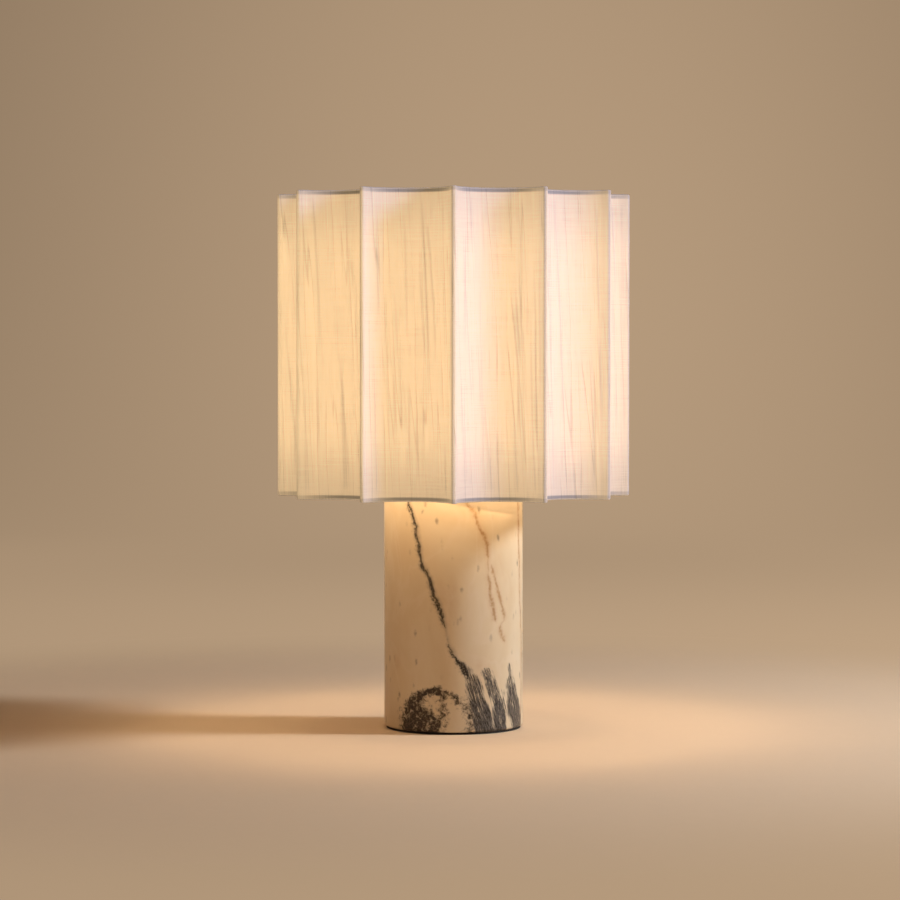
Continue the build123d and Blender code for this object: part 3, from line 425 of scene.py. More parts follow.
# The cloth's profile as (inset, height) rows with the way it faces: bottom hem, outer face, top hem. The hems are
# quarter rounds: r - r * cos or sin of the angle, from the rim's bottom or top.
def clothPath():
    r, inner = linen["rimRound"], linen["hemInset"]
    bottom, top = linen["bottom"], linen["top"]
    quarter = np.radians([0.0, 22.5, 45.0, 67.5, 90.0])
    rows = [(inner, bottom + linen["hemHeight"], 1.0, 0.0)]
    rows += [(inner - r + r * cos(a), bottom + r - r * sin(a), cos(a), -sin(a)) for a in quarter]
    rows += [(r - r * sin(a), bottom + r - r * cos(a), -sin(a), -cos(a)) for a in quarter]
    heights = np.linspace(bottom + r, top - r, int((top - bottom) / linen["rowStep"]))[1:-1]
    rows += [(0.0, h, -1.0, 0.0) for h in heights]
    rows += [(r - r * cos(a), top - r + r * sin(a), -cos(a), sin(a)) for a in quarter]
    rows += [(inner - r + r * sin(a), top - r + r * cos(a), sin(a), cos(a)) for a in quarter]
    rows += [(inner, top - linen["hemHeight"], 1.0, 0.0)]
    return np.array(rows)


# How far the cloth stands out, and the painted shade of its creases. A crease is a thin slanted line, faded at
# both
# ends: depth * fade * (bell across it - dipDepth * bell of a dip beside it). Slow sine waves are added.
def creaseField(along, height, seed):
    draw = np.random.default_rng(seed)
    count = linen["creases"]
    u0 = draw.uniform(-linen["creaseReach"], linen["creaseReach"], count) * flute["arc"]
    v0 = draw.uniform(linen["bottom"] + linen["creaseEnds"], linen["top"] - linen["creaseEnds"], count)
    length = draw.uniform(*linen["creaseLengths"], count)
    slant = draw.normal(linen["creaseSlant"], linen["slantSpread"], count)
    width = draw.uniform(*linen["creaseWidths"], count)
    depth = linen["creaseDepth"] * draw.uniform(*linen["creaseShares"], count)
    bow = draw.normal(0.0, linen["bowSpread"], count)
    out, paintedCreaseShade = np.zeros_like(along), np.zeros_like(along)
    for k in range(count):
        t = (height - v0[k]) / length[k]
        across = along - u0[k] - slant[k] * (height - v0[k]) - bow[k] * t * t
        fade = np.exp(-(np.abs(t) * linen["creaseFade"]) ** 3.0)
        line = bell(across, width[k])
        dip = bell(across - linen["dipPlace"] * width[k], linen["dipWidth"] * width[k])
        out += depth[k] * fade * (line - linen["dipDepth"] * dip)
        paintedCreaseShade += fade * line * depth[k] / linen["creaseDepth"]
    for k in range(linen["waves"]):
        up = height / draw.uniform(*linen["wavesUp"])
        turned = along / draw.uniform(*linen["wavesAcross"]) + up + draw.uniform(*linen["wavesStart"])
        out += linen["wavesDepth"] / linen["waves"] * np.sin(turned)
    return out, np.clip(paintedCreaseShade, 0.0, 1.0)


# Arrays of one panel, (row, column) = (way round the profile, step across the flute): points in millimetres,
# distance along the cloth, and marks. A place is the flute's line at its row's inset, moved outward by creases
# and waves, less the seam allowance's lap, less the seam's groove. At the rims the stitches wave its height.
def panelGrid(number, path):
    arc, span, ridge = flute["arc"], flute["span"], linen["ridgeRadius"]
    flat = np.linspace(-1.0, 1.0, linen["fluteSteps"] + 1) * arc / span
    edge = np.linspace(arc, span, linen["ridgeSteps"] + 1)[1:] / span
    edge = np.append(edge[:-1], [1.0 - linen["lastStep"] / span, 1.0])
    steps = np.concatenate([-edge[::-1], flat, edge])[None, :]
    rows = np.concatenate([path, path[::-1]])
    ringSide = np.concatenate([np.zeros(len(path)), np.ones(len(path))])[:, None]
    wall = np.abs(rows[:, 2:3] + 1.0) < 1e-6
    inset = rows[:, 0:1] - rows[:, 2:3] * linen["cloth"] * ringSide
    height = rows[:, 1:2] - rows[:, 3:4] * linen["cloth"] * ringSide
    x, y, along = fluteLine(steps, inset)
    height, along = height + 0.0 * along, along + 0.0 * height
    toSeam = span - np.abs(along)
    toHem = np.minimum(height - linen["bottom"], linen["top"] - height)
    # creases and waves push both faces the same way, and fade at the seams and hems
    out, paintedCreaseShade = creaseField(along, height, linen["seed"] + number)
    calm = ramp(toSeam, *linen["calmSeam"]) * ramp(toHem, *linen["calmHem"])
    # a turned-in seam allowance thickens the higher end, on its ring side
    fromEnd = span - along
    lap = ramp(fromEnd, linen["seamStart"], linen["seamRise"])
    lap = lap * ramp(linen["seamStart"] + linen["seamAllowance"] - fromEnd, 0.0, linen["seamFall"]) * wall
    shift = out * calm * wall - linen["seamThickness"] * lap * ringSide * ramp(toHem, *linen["calmLap"])
    # the seam itself is a narrow groove, and the rim has fine stitches
    groove = bell(toSeam, linen["seamGrooveWidth"]) * (inset < ridge) * (1.0 - ringSide)
    shift = shift - linen["seamGroove"] * groove
    stitch = linen["stitchDepth"] * np.cos(2.0 * pi * along / linen["stitchPitch"]) * (1.0 - ringSide)
    height = height - stitch * rows[:, 3:4] * (toHem < linen["stitchReach"])
    # outward is towards the flute's centre, and over a ridge away from the strut
    outward = np.stack([flute["centre"] - x, -y], axis=-1)
    fromStrut = np.stack([x - flute["strut"][0], y - np.sign(y) * flute["strut"][1]], axis=-1)
    overRidge = (np.abs(along) > arc) & (inset < ridge)
    outward = np.where(overRidge[..., None], fromStrut, outward)
    outward = outward / np.maximum(np.linalg.norm(outward, axis=-1, keepdims=True), 1e-6)
    x, y = x + outward[..., 0] * shift, y + outward[..., 1] * shift
    turn = radians((number - 0.5) * 360.0 / linen["ridges"])
    points = np.stack([x * cos(turn) - y * sin(turn), x * sin(turn) + y * cos(turn), height], axis=-1)
    # painted shade for the material: a thin band beside the ridge where the strut blocks the glow, and the lap
    # darker in it
    seam = bell(fromEnd - linen["seamMark"], linen["seamShadeWidth"]) * wall * (1.0 - ringSide)
    marks = {"crease": paintedCreaseShade * calm * wall, "lap": lap, "seam": seam, "middle": 1.0 - np.abs(along) / span}
    return points, along, marks


# One panel, with its flat width and length. Its UV map runs along the threads, and its marks are attributes.
def linenPanel(number):
    path = clothPath()
    points, along, marks = panelGrid(number, path)
    rowCount, columnCount = along.shape
    # end caps join each row to the one behind it
    near = np.arange(len(path) - 1)
    far = rowCount - 1 - near
    low = np.stack([near, near + 1, far - 1, far], axis=-1) * columnCount
    high = (low + columnCount - 1)[:, ::-1]
    faces = np.concatenate([gridFaces(rowCount, columnCount, closedRows=True), low, high])
    piece = meshObject(f"linenPanel{number:02d}", points.reshape(-1, 3) * 0.001, faces)
    mesh = piece.data
    corner = np.empty(len(mesh.loops), np.int32)
    mesh.loops.foreach_get("vertex_index", corner)
    weave = np.stack([along, points[..., 2]], axis=-1) * linen["weaveScale"] + [number * linen["weaveStep"], 0.0]
    weave = weave.reshape(-1, 2)[corner].astype(np.float32)
    mesh.uv_layers.new(name="weave").data.foreach_set("uv", weave.ravel())
    for label, values in marks.items():
        layer = mesh.attributes.new(label, "FLOAT", "POINT")
        layer.data.foreach_set("value", values.astype(np.float32).ravel())
    walk = np.linalg.norm(np.diff(path[:, :2], axis=0), axis=1).sum()
    return piece, 2.0 * flute["span"] * 0.001, walk * 0.001


# the cloth's look. Noise scales are (across the flute, up, 1), and fades are (from, to, at from, at to).
cloth = {
    "slant": 0.055, "threadsUpright": (70.0, 2.2, 1.0), "threadsLevel": (2.6, 75.0, 1.0),
    "patches": (5.0, 4.0, 1.0), "threadContrast": 0.30, "threadFades": (0.35, 0.65, 0.35, 1.1),
    "gridPitch": 0.0215, "gridContrast": 0.075, "gridFades": (0.46, 0.62, 0.1, 1.0),
    "crinkles": (42.0, 1.5, 1.0), "crinkleContrast": 0.30, "crinklePatches": (4.0, 1.2, 1.0),
    "crinkleFades": (0.35, 0.65, 0.35, 1.0),
    "folds": (13.0, 0.34, 1.0), "foldPatches": (7.0, 0.7, 1.0), "foldFades": (0.38, 0.54), "foldWidth": 0.022,
    "foldShade": -0.17, "paleFrom": 0.045, "paleWidth": 0.035, "foldHighlight": 0.07,
    "creaseShade": -0.28, "lapShade": -0.09, "hemShade": -0.70, "rimShade": -0.50, "seamShade": -0.40,
    "rimFades": (0.0004, 0.0013, 1.0, 0.0), "hemStarts": (0.0007, 0.0014), "hemEnds": (0.0031, 0.0047, 1.0, 0.0),
    "hemCorners": (0.0, 0.75, 0.35, 1.0),
    "bottomFades": (0.222, 0.285, 0.77, 1.0), "topFades": (0.435, 0.500, 1.0, 0.84),
    "faceThreads": 0.18, "faceFoldShade": -0.12, "faceHemShadow": -0.25, "foldRelief": -0.9, "relief": (0.45, 0.5),
    "passing": 0.4, "faceColour": (0.80, 0.815, 0.88), "throughColour": (0.66, 0.54, 0.44),
    # the glow colour is painted light: the bulb's light as seen through the cloth
    "glowColour": (0.405, 0.300, 0.158),
}
linenMaterial, output, place = startMaterial("crinkledLinen")
crease, lap, seam, middleOf = [add("Attribute", attribute_name=mark).outputs["Fac"]
                               for mark in ("crease", "lap", "seam", "middle")]
weave = add("UVMap", uv_map="weave").outputs[0]
weaveAxes = axesOf(weave)
slanted = placeOf(plus(weaveAxes[0], weaveAxes[1], cloth["slant"]), weaveAxes[1])
# rim and hem: bands at set distances from the cloth's top and bottom. The hem band is the painted shadow of the
# hidden wire ring, and the rim gets painted shade on its rolled edge
tall = axesOf(place)[2]
toHem = calc("MINIMUM", less(tall, 0.001 * linen["bottom"]), less(0.001 * linen["top"], tall))
rim = spread(toHem, *cloth["rimFades"])
hem = times(spread(toHem, *cloth["hemStarts"]), spread(toHem, *cloth["hemEnds"]))
hem = times(hem, spread(middleOf, *cloth["hemCorners"]))
# threads: noise drawn out along each direction, and a fine grid that shows in patches
upright = drawn(weave, cloth["threadsUpright"], 2.0)
level = drawn(weave, cloth["threadsLevel"], 2.0)
patches = drawn(weave, cloth["patches"])
threads = less(calc("ADD", upright, level), 1.0)
threads = times(threads, spread(patches, *cloth["threadFades"]))
turns = 2.0 * pi / cloth["gridPitch"]
grid = calc("ADD", *[calc("SINE", times(weaveAxes[k], turns)) for k in (0, 1)])
grid = times(grid, spread(patches, *cloth["gridFades"]))
# crinkles: short upright streaks, stronger in patches
crinkles = drawn(slanted, cloth["crinkles"], 3.0, 0.6)
crinkleNear = drawn(slanted, cloth["crinklePatches"], 2.0, shift=(1, 8, 0))
crinkleNear = spread(crinkleNear, *cloth["crinkleFades"])
crinkleLevel = times(less(crinkles, 0.5), crinkleNear)
# folds: the lines where a drawn-out noise passes its middle, painted shade, with a painted highlight on one side
signed = less(drawn(slanted, cloth["folds"], 0.8, 0.4, 0.05), 0.5)
foldsNear = spread(drawn(slanted, cloth["foldPatches"], 1.5, shift=(5, 2, 0)), *cloth["foldFades"])
foldLine = spread(calc("ABSOLUTE", signed), 0.0, cloth["foldWidth"], 1.0, 0.0)
foldLine = times(foldLine, foldsNear)
paintedFoldHighlight = spread(apart(signed, cloth["paleFrom"]), 0.0, cloth["paleWidth"], 1.0, 0.0)
paintedFoldHighlight = times(paintedFoldHighlight, foldsNear)
# what passes through, which also shapes the painted glow: all of these, with painted shade at creases, hem, seam
# and lap, and less at the ends than by the bulb
through = plus(1.0, threads, cloth["threadContrast"])
through = plus(through, grid, 0.5 * cloth["gridContrast"])
through = plus(through, crinkleLevel, cloth["crinkleContrast"])
through = plus(through, foldLine, cloth["foldShade"])
through = plus(through, paintedFoldHighlight, cloth["foldHighlight"])
for mark, depth in ((crease, "creaseShade"), (hem, "hemShade"), (seam, "seamShade"), (lap, "lapShade")):
    through = times(through, plus(1.0, mark, cloth[depth]))
# painted shade: the glow is weaker towards the top and bottom, away from the bulb
paintedEndShade = times(spread(tall, *cloth["bottomFades"]), spread(tall, *cloth["topFades"]))
through = times(through, paintedEndShade)
through = times(through, plus(1.0, rim, cloth["rimShade"]))
# the outer face shows the threads, and the painted shade of folds and hem, more weakly
face = plus(1.0, threads, cloth["faceThreads"])
face = plus(face, foldLine, cloth["faceFoldShade"])
face = plus(face, hem, cloth["faceHemShadow"])
raised = plus(calc("ADD", threads, crinkles), foldLine, cloth["foldRelief"])
relief = reliefOf(raised, *cloth["relief"])
faceColour, throughColour, glowColour = [shaded(part, cloth[colour]) for part, colour in (
    (face, "faceColour"), (through, "throughColour"), (through, "glowColour"))]
reflected = add("BsdfDiffuse", {"Color": faceColour, "Normal": relief}).outputs[0]
passed = add("BsdfTranslucent", {"Color": throughColour, "Normal": relief}).outputs[0]
mixed = add("MixShader", {0: cloth["passing"], 1: reflected, 2: passed}).outputs[0]
# painted glow: the cloth itself emits the bulb's light that would pass through it
glow = add("Emission", {"Color": glowColour, "Strength": 1.0}).outputs[0]
feed(output, "Surface", add("AddShader", {0: mixed, 1: glow}).outputs[0])

panels = []
for number in range(1, linen["ridges"] + 1):
    panel, panelWidth, panelLength = linenPanel(number)
    panel.data.materials.append(linenMaterial)
    panels.append(panel)
    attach(panel, "shade")
    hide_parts(f"cover_panel_{number:02d}")
print("linen panels made:", panelWidth, panelLength)


# Lets a lamp light only these pieces (INCLUDE) or everything else (EXCLUDE). All of them still cast its shadow.
def linked(light, name, state, pieces):
    group = bpy.data.collections.new(name)
    for piece in pieces:
        group.objects.link(piece)
    light.light_linking.receiver_collection = group
    for entry in group.collection_objects:
        entry.light_linking.link_state = state


linked(shadeLight, "lightsShade", "INCLUDE", panels)
linked(keyLight, "lightsRest", "EXCLUDE", panels)
linked(underLight, "lightsBelow", "EXCLUDE", panels)
linked(columnLight, "lightsColumn", "INCLUDE", [nodes["marble_column"]])


# marble: veins are bands of (height, place round the column, half width) in millimetres. The place counts from
# the front to the right. A half width below 0 hides the band.
marble = {
    "radius": 65.0, "height": 228.0, "edgeRound": 1.0, "halfWidths": (-8.0, 24.0), "roughness": (0.37, 0.48),
    "cream": (0.77, 0.665, 0.505), "warmCloud": (0.71, 0.585, 0.41), "pale": (0.80, 0.70, 0.59),
    "ink": (0.014, 0.011, 0.010), "inkGrey": (0.155, 0.14, 0.13), "inkBrown": (0.095, 0.062, 0.040),
    "rust": (0.44, 0.25, 0.11), "rustHalo": (0.60, 0.41, 0.24), "topFade": 0.11,
    "mainVein": [(0, 15, -6), (46, 14, -2), (54, 12, 1.2), (58, 10.2, 2.4), (67, 4.8, 2.3), (74, 0.2, 0.9),
                 (83, -3.6, 0.4), (88, -4.5, -1.2), (96, -6.5, -1.2), (100, -7.6, 0.1), (107, -9, 1.0),
                 (118, -13.7, 1.3), (130, -18.4, 1.5), (139, -20.8, 1.7), (147, -24.1, 0.7), (154, -29.1, 1.9),
                 (163, -31.7, 1.3), (174, -33.5, 1.5), (185, -35.8, 0.9), (194, -37.6, 1.4), (204, -41.8, 1.2),
                 (213, -44.8, 0.7), (228, -50, 0.6)],
    "fans": [[(0, 31, 8.5), (16, 28.7, 7.8), (28, 24.2, 7.0), (47, 18.6, 4.6), (59, 12.2, 2.6), (67, 7.5, 0.4),
              (75, 3, -6), (228, 3, -6)],
             [(0, 46.5, 8.5), (16, 47.3, 7.2), (32, 43.6, 5.4), (44, 37.8, 4.8), (54, 33, 4.4), (60, 31, 0.8),
              (66, 29, -6), (228, 29, -6)],
             [(0, 75.6, 7), (8, 74, 9), (22, 68.5, 9.5), (37, 65.5, 6.0), (46, 62, 4.8), (53, 61.8, 1.7),
              (61, 60.2, 0.4), (68, 60, -6), (228, 60, -6)],
             [(0, -150, 17), (20, -148, 13), (38, -143, 8), (52, -139, 3), (60, -136, -5), (228, -136, -6)],
             [(0, 172, 9), (30, 168, 6), (52, 163, 2.5), (64, 160, -5), (228, 160, -6)]],
    "clump": [(0, -33.5, 22), (20, -31, 22.5), (25, -30, 20.5), (34, -25, 18), (41, -19, 10.5), (44.5, -16, 0.5),
              (50, -16, -8), (228, -16, -8)],
    "clumpHole": [(0, -15, -8), (13, -15, -3), (18, -16.5, 2.5), (24, -18.5, 6), (29, -20, 8), (34, -20, 6.5),
                  (38, -19, 0.5), (44, -19, -8), (228, -19, -8)],
    "chain": [(0, 16.5, 2.2), (13, 16.5, 1.6), (22, 14.5, 2.8), (30, 7, 3.2), (36, -0.5, 2.6), (41, -8, 1.5),
              (46, -12, -6), (228, -12, -6)],
    "backVein": [(0, 128, 2.5), (30, 121, 1.3), (62, 125, 0.9), (95, 116, 1.2), (131, 110, 0.8), (160, 101, 1.1),
                 (190, 99, 0.3), (228, 92, 0.8)],
    "backVein2": [(0, -92, -3), (60, -101, -3), (84, -105, 0.2), (110, -113, 1.0), (140, -117, 0.8),
                  (170, -128, 1.2), (200, -131, 0.5), (228, -138, 0.9)],
    "rusts": [[(0, 45, -6), (98, 43, -5), (106, 40.5, 0.5), (115, 38.6, 0.8), (128, 35.9, 0.9), (143, 34, 0.6),
               (150, 33.5, -0.7), (160, 33, -0.7), (166, 32.6, 0.4), (175, 32.3, 1.1), (191, 24.6, 0.8),
               (205, 18.9, 0.6), (211, 14.1, 0.4), (228, 8, 0.2)],
              [(0, 62, -6), (80, 53, -5), (85, 51.9, 0.5), (91, 49.5, 1.0), (98, 47.6, 0.5), (102, 49, -0.8),
               (108, 53.5, 0.2), (113, 51, 0.7), (121, 47.5, 0.8), (137, 42.5, 0.4), (154, 37.7, 0.2),
               (162, 36, -6), (228, 36, -6)],
              [(0, -170, 0.5), (50, -176, 0.9), (110, -168, 0.7), (160, -172, 1.0), (228, -160, 0.5)],
              [(0, 84, 0.2), (70, 88, 0.6), (120, 82, 0.4), (170, 79, 0.8), (228, 74, 0.4)]],
}

# the stone's look. Noises are (scale or scales, detail, roughness, distortion). Edges and the like are (from, to,
# at from, at to) of a depth in millimetres or of a noise. Most other numbers say how far a noise moves a depth.
stone = {
    "coarse": (90.0, 3.0), "fine": (420.0, 4.0, 0.65), "speck": (1050.0, 3.0, 0.65),
    "mottle": (270.0, 4.0, 0.62, 0.5), "grit": (900.0, 2.0, 0.6), "fleckNear": (30.0, 2.0),
    "streak": ((0.36, 0.04, 1.0), 3.0, 0.6, 0.3), "fineStreak": ((0.75, 0.07, 1.0), 4.0, 0.65, 0.5),
    "thinStreak": ((1.5, 0.16, 1.0), 3.0, 0.6, 0.6), "flow": 0.33, "fleckScale": (95.0, 95.0, 48.0),
    "clouds": ((14.0, 14.0, 8.0), 4.0, 0.55, 0.8), "warmth": ((24.0, 24.0, 11.0), 4.0, 0.55, 0.6),
    "wisps": ((22.0, 22.0, 12.0), 3.0, 0.5, 1.0), "topLines": ((9.0, 15.0, 9.0), 4.0, 0.55, 0.5),
    "heightWander": 7.0, "bend": 6.0, "jag": 4.6,
    "veinSpeck": 7.0, "veinFine": 3.4, "veinEdge": (-0.9, 0.7, 0.0, 0.98), "veinGrit": (0.34, 0.50, 0.45, 1.0),
    "veinHaloFine": 5.0, "veinHalo": (-4.5, 0.8, 0.0, 0.34),
    "streakMiddle": 0.36, "streakDepth": 14.0, "fillHeight": 42.0, "fillRise": 0.0022, "fillSpeck": 0.25,
    "fanEdge": (-1.5, 2.2), "fanFill": (0.34, 0.52, 0.16, 1.0), "thinEdge": (-3.0, 1.0),
    "thinFill": (0.55, 0.66, 0.0, 0.8), "fanTones": (0.40, 0.60),
    "clumpDeepest": 5.0, "chainDeeper": 0.9, "clumpMottle": 30.0, "clumpSpeck": 5.0,
    "clumpEdge": (-1.8, 5.8, 0.0, 0.98), "clumpHalo": (-6.5, 3.5, 0.0, 0.46),
    "clumpHeights": (47.0, 58.0, 1.0, 0.0), "clumpTones": (0.40, 0.68),
    "rustFine": 2.6, "rustEdge": (-2.1, 0.9), "rustMottle": (0.34, 0.58, 0.30, 0.90),
    "rustHaloFine": 3.0, "rustHalo": (-5.5, 0.5, 0.0, 0.32),
    "fleckFine": 0.3, "fleckEdge": (0.03, 0.23, 1.0, 0.0), "fleckPatches": (0.40, 0.56, 0.0, 0.55),
    "cloudEdge": (0.30, 0.70), "warmEdge": (0.54, 0.74, 0.0, 0.35), "wispEdge": (0.0, 0.06, 0.22, 0.0),
    "topLevel": 0.56, "topEdge": (0.0, 0.012, 0.8, 0.0), "topStarts": (1.0, 6.0),
    "inkRelief": -0.6, "gritRelief": 0.12, "relief": (0.25, 0.3), "ior": 1.4,
}


# A Float Curve of the height, as a share of the column's, through (height, value) pairs with values in low..high.
def curveOf(height, pairs, low, high):
    made = add("FloatCurve", {"Factor": 1.0, "Value": height})
    line = made.mapping.curves[0]
    spots = [(h / marble["height"], (v - low) / (high - low)) for h, v in pairs]
    for k, spot in enumerate(spots):
        if k < 2:
            line.points[k].location = spot
        else:
            line.points.new(*spot)
    for point in line.points:
        point.handle_type = "AUTO_CLAMPED"
    made.mapping.update()
    return plus(low, made.outputs[0], high - low)


# How deep a place lies inside a band, in millimetres: half width - |girth - the band's middle|.
def band(height, girth, points):
    ordered = sorted(points)
    middles = [p[1] for p in ordered]
    middle = curveOf(height, [(p[0], p[1]) for p in ordered], min(middles) - 1.0, max(middles) + 1.0)
    half = curveOf(height, [(p[0], p[2]) for p in ordered], *marble["halfWidths"])
    return less(half, apart(girth, middle))


# The largest of several fields.
def deepest(fields):
    best = fields[0]
    for field in fields[1:]:
        best = calc("MAXIMUM", best, field)
    return best


# One of the stone's noises, from its middle of 0.5.
def unevenness(place, name):
    return less(grain(place, *stone[name]), 0.5)


# A value spread as the row of that name says.
def edge(value, name):
    return spread(value, *stone[name])


# tall is the height and girth the way round the column, both in millimetres
marbleMaterial, output, place = startMaterial("veinedMarble")
axes = axesOf(place)
girth = times(calc("ARCTAN2", axes[0], times(axes[1], -1.0)), marble["radius"])
tall = times(axes[2], 1000.0)
# on the top, how far a place is from the edge
inward = less(marble["radius"] - marble["edgeRound"], fromAxis(place, 1000.0))
inward = calc("MAXIMUM", inward, 0.0)
coarse, fine, speck = [unevenness(place, name) for name in ("coarse", "fine", "speck")]
mottle = grain(place, *stone["mottle"])
grit = grain(place, *stone["grit"])
climb = calc("DIVIDE", plus(tall, coarse, stone["heightWander"]), marble["height"])
bent = plus(girth, coarse, stone["bend"])
jagged = plus(bent, fine, stone["jag"])
flow = placeOf(plus(girth, tall, stone["flow"]), tall)
streak = drawn(flow, *stone["streak"])
fineStreak = drawn(flow, *stone["fineStreak"], shift=(3, 7, 0))
thinStreak = drawn(flow, *stone["thinStreak"], shift=(9, 2, 0))

# dark veins, and a brown halo beside them
veinDepth = deepest([band(climb, jagged, marble[name]) for name in ("mainVein", "backVein", "backVein2")])
veinDepth = plus(veinDepth, inward, -marble["topFade"])
grainy = plus(plus(veinDepth, fine, stone["veinFine"]), speck, stone["veinSpeck"])
veinInk = times(edge(grainy, "veinEdge"), edge(grit, "veinGrit"))
veinHalo = edge(plus(veinDepth, fine, stone["veinHaloFine"]), "veinHalo")

# fans of streaks, filled more towards the foot
fanDepth = deepest([band(climb, bent, points) for points in marble["fans"]])
fanDepth = plus(fanDepth, less(streak, stone["streakMiddle"]), stone["streakDepth"])
filled = plus(fineStreak, less(stone["fillHeight"], tall), stone["fillRise"])
filled = plus(filled, speck, stone["fillSpeck"])
fanInk = calc("MAXIMUM",
              times(edge(fanDepth, "fanEdge"), edge(filled, "fanFill")),
              times(edge(fanDepth, "thinEdge"), edge(thinStreak, "thinFill")))

# a mottled clump at the foot, with a hollow in it and a chain beside it
clumpDepth = calc("MINIMUM", band(climb, bent, marble["clump"]),
                  times(band(climb, bent, marble["clumpHole"]), -1.0))
clumpDepth = calc("MINIMUM", clumpDepth, stone["clumpDeepest"])
chain = calc("ADD", band(climb, bent, marble["chain"]), stone["chainDeeper"])
clumpDepth = calc("MAXIMUM", clumpDepth, chain)
clumpDepth = plus(clumpDepth, less(mottle, 0.5), stone["clumpMottle"])
clumpDepth = plus(clumpDepth, speck, stone["clumpSpeck"])
low = edge(tall, "clumpHeights")
clumpInk, clumpHalo = [times(edge(clumpDepth, name), low) for name in ("clumpEdge", "clumpHalo")]

# thin rust lines with a pale halo, and dark flecks
rustDepth = deepest([band(climb, bent, points) for points in marble["rusts"]])
rustDepth = plus(rustDepth, inward, -marble["topFade"])
rustShare = times(edge(plus(rustDepth, fine, stone["rustFine"]), "rustEdge"), edge(mottle, "rustMottle"))
rustHalo = edge(plus(rustDepth, fine, stone["rustHaloFine"]), "rustHalo")
fleckPlace = stretched(place, stone["fleckScale"])
flecks = add("TexVoronoi", {"Vector": fleckPlace, "Scale": 1.0}, feature="F1").outputs["Distance"]
fleckShare = times(edge(plus(flecks, fine, stone["fleckFine"]), "fleckEdge"),
                   edge(grain(place, *stone["fleckNear"]), "fleckPatches"))

# the ground: warm clouds, wisps, and a few lines that only the top has
clouds = drawn(place, *stone["clouds"])
warmth = drawn(place, *stone["warmth"], shift=(4, 1, 2))
wisps = drawn(place, *stone["wisps"], turn=(0.3, 0.2, 0.0))
topNoise = drawn(place, *stone["topLines"], turn=(0, 0, 0.7))
topInk = times(edge(apart(topNoise, stone["topLevel"]), "topEdge"), edge(inward, "topStarts"))
fanTone = tint(edge(thinStreak, "fanTones"), marble["ink"], marble["inkGrey"])
clumpTone = tint(edge(grit, "clumpTones"), marble["ink"], marble["inkBrown"])
layers = [
    (edge(warmth, "warmEdge"), marble["rustHalo"]),
    (edge(apart(wisps, 0.5), "wispEdge"), marble["pale"]),
    (rustHalo, marble["rustHalo"]), (rustShare, marble["rust"]), (fleckShare, marble["inkBrown"]),
    (deepest([clumpHalo, veinHalo]), marble["inkBrown"]),
    (clumpInk, clumpTone), (fanInk, fanTone), (veinInk, marble["ink"]), (topInk, marble["inkGrey"]),
]
body = tint(edge(clouds, "cloudEdge"), marble["warmCloud"], marble["cream"])
for share, colour in layers:
    body = tint(share, body, colour)
sheen = spread(clouds, *stone["cloudEdge"], *marble["roughness"])
hollows = plus(times(grit, stone["gritRelief"]), deepest([veinInk, fanInk, clumpInk, topInk]), stone["inkRelief"])
relief = reliefOf(hollows, *stone["relief"])
solid = add("BsdfPrincipled", {"Base Color": body, "Roughness": sheen, "Normal": relief, "IOR": stone["ior"]})
feed(output, "Surface", solid.outputs[0])
dress(marbleMaterial, "marble_column")
print("marble made")


# metals, plastics and the rest: one row for each material slot of the CAD pieces. tones are a dark and a pale
# colour, rough is a range, clouds and lines are noise scales, and depth is the relief in millimetres. lines are
# tool marks or grain: one scale, or one along X, Y and Z.
def finish(tones, rough, clouds, lines=None, depth=0.0, **more):
    return {"tones": tones, "rough": rough, "clouds": clouds, "lines": lines, "depth": depth, **more}


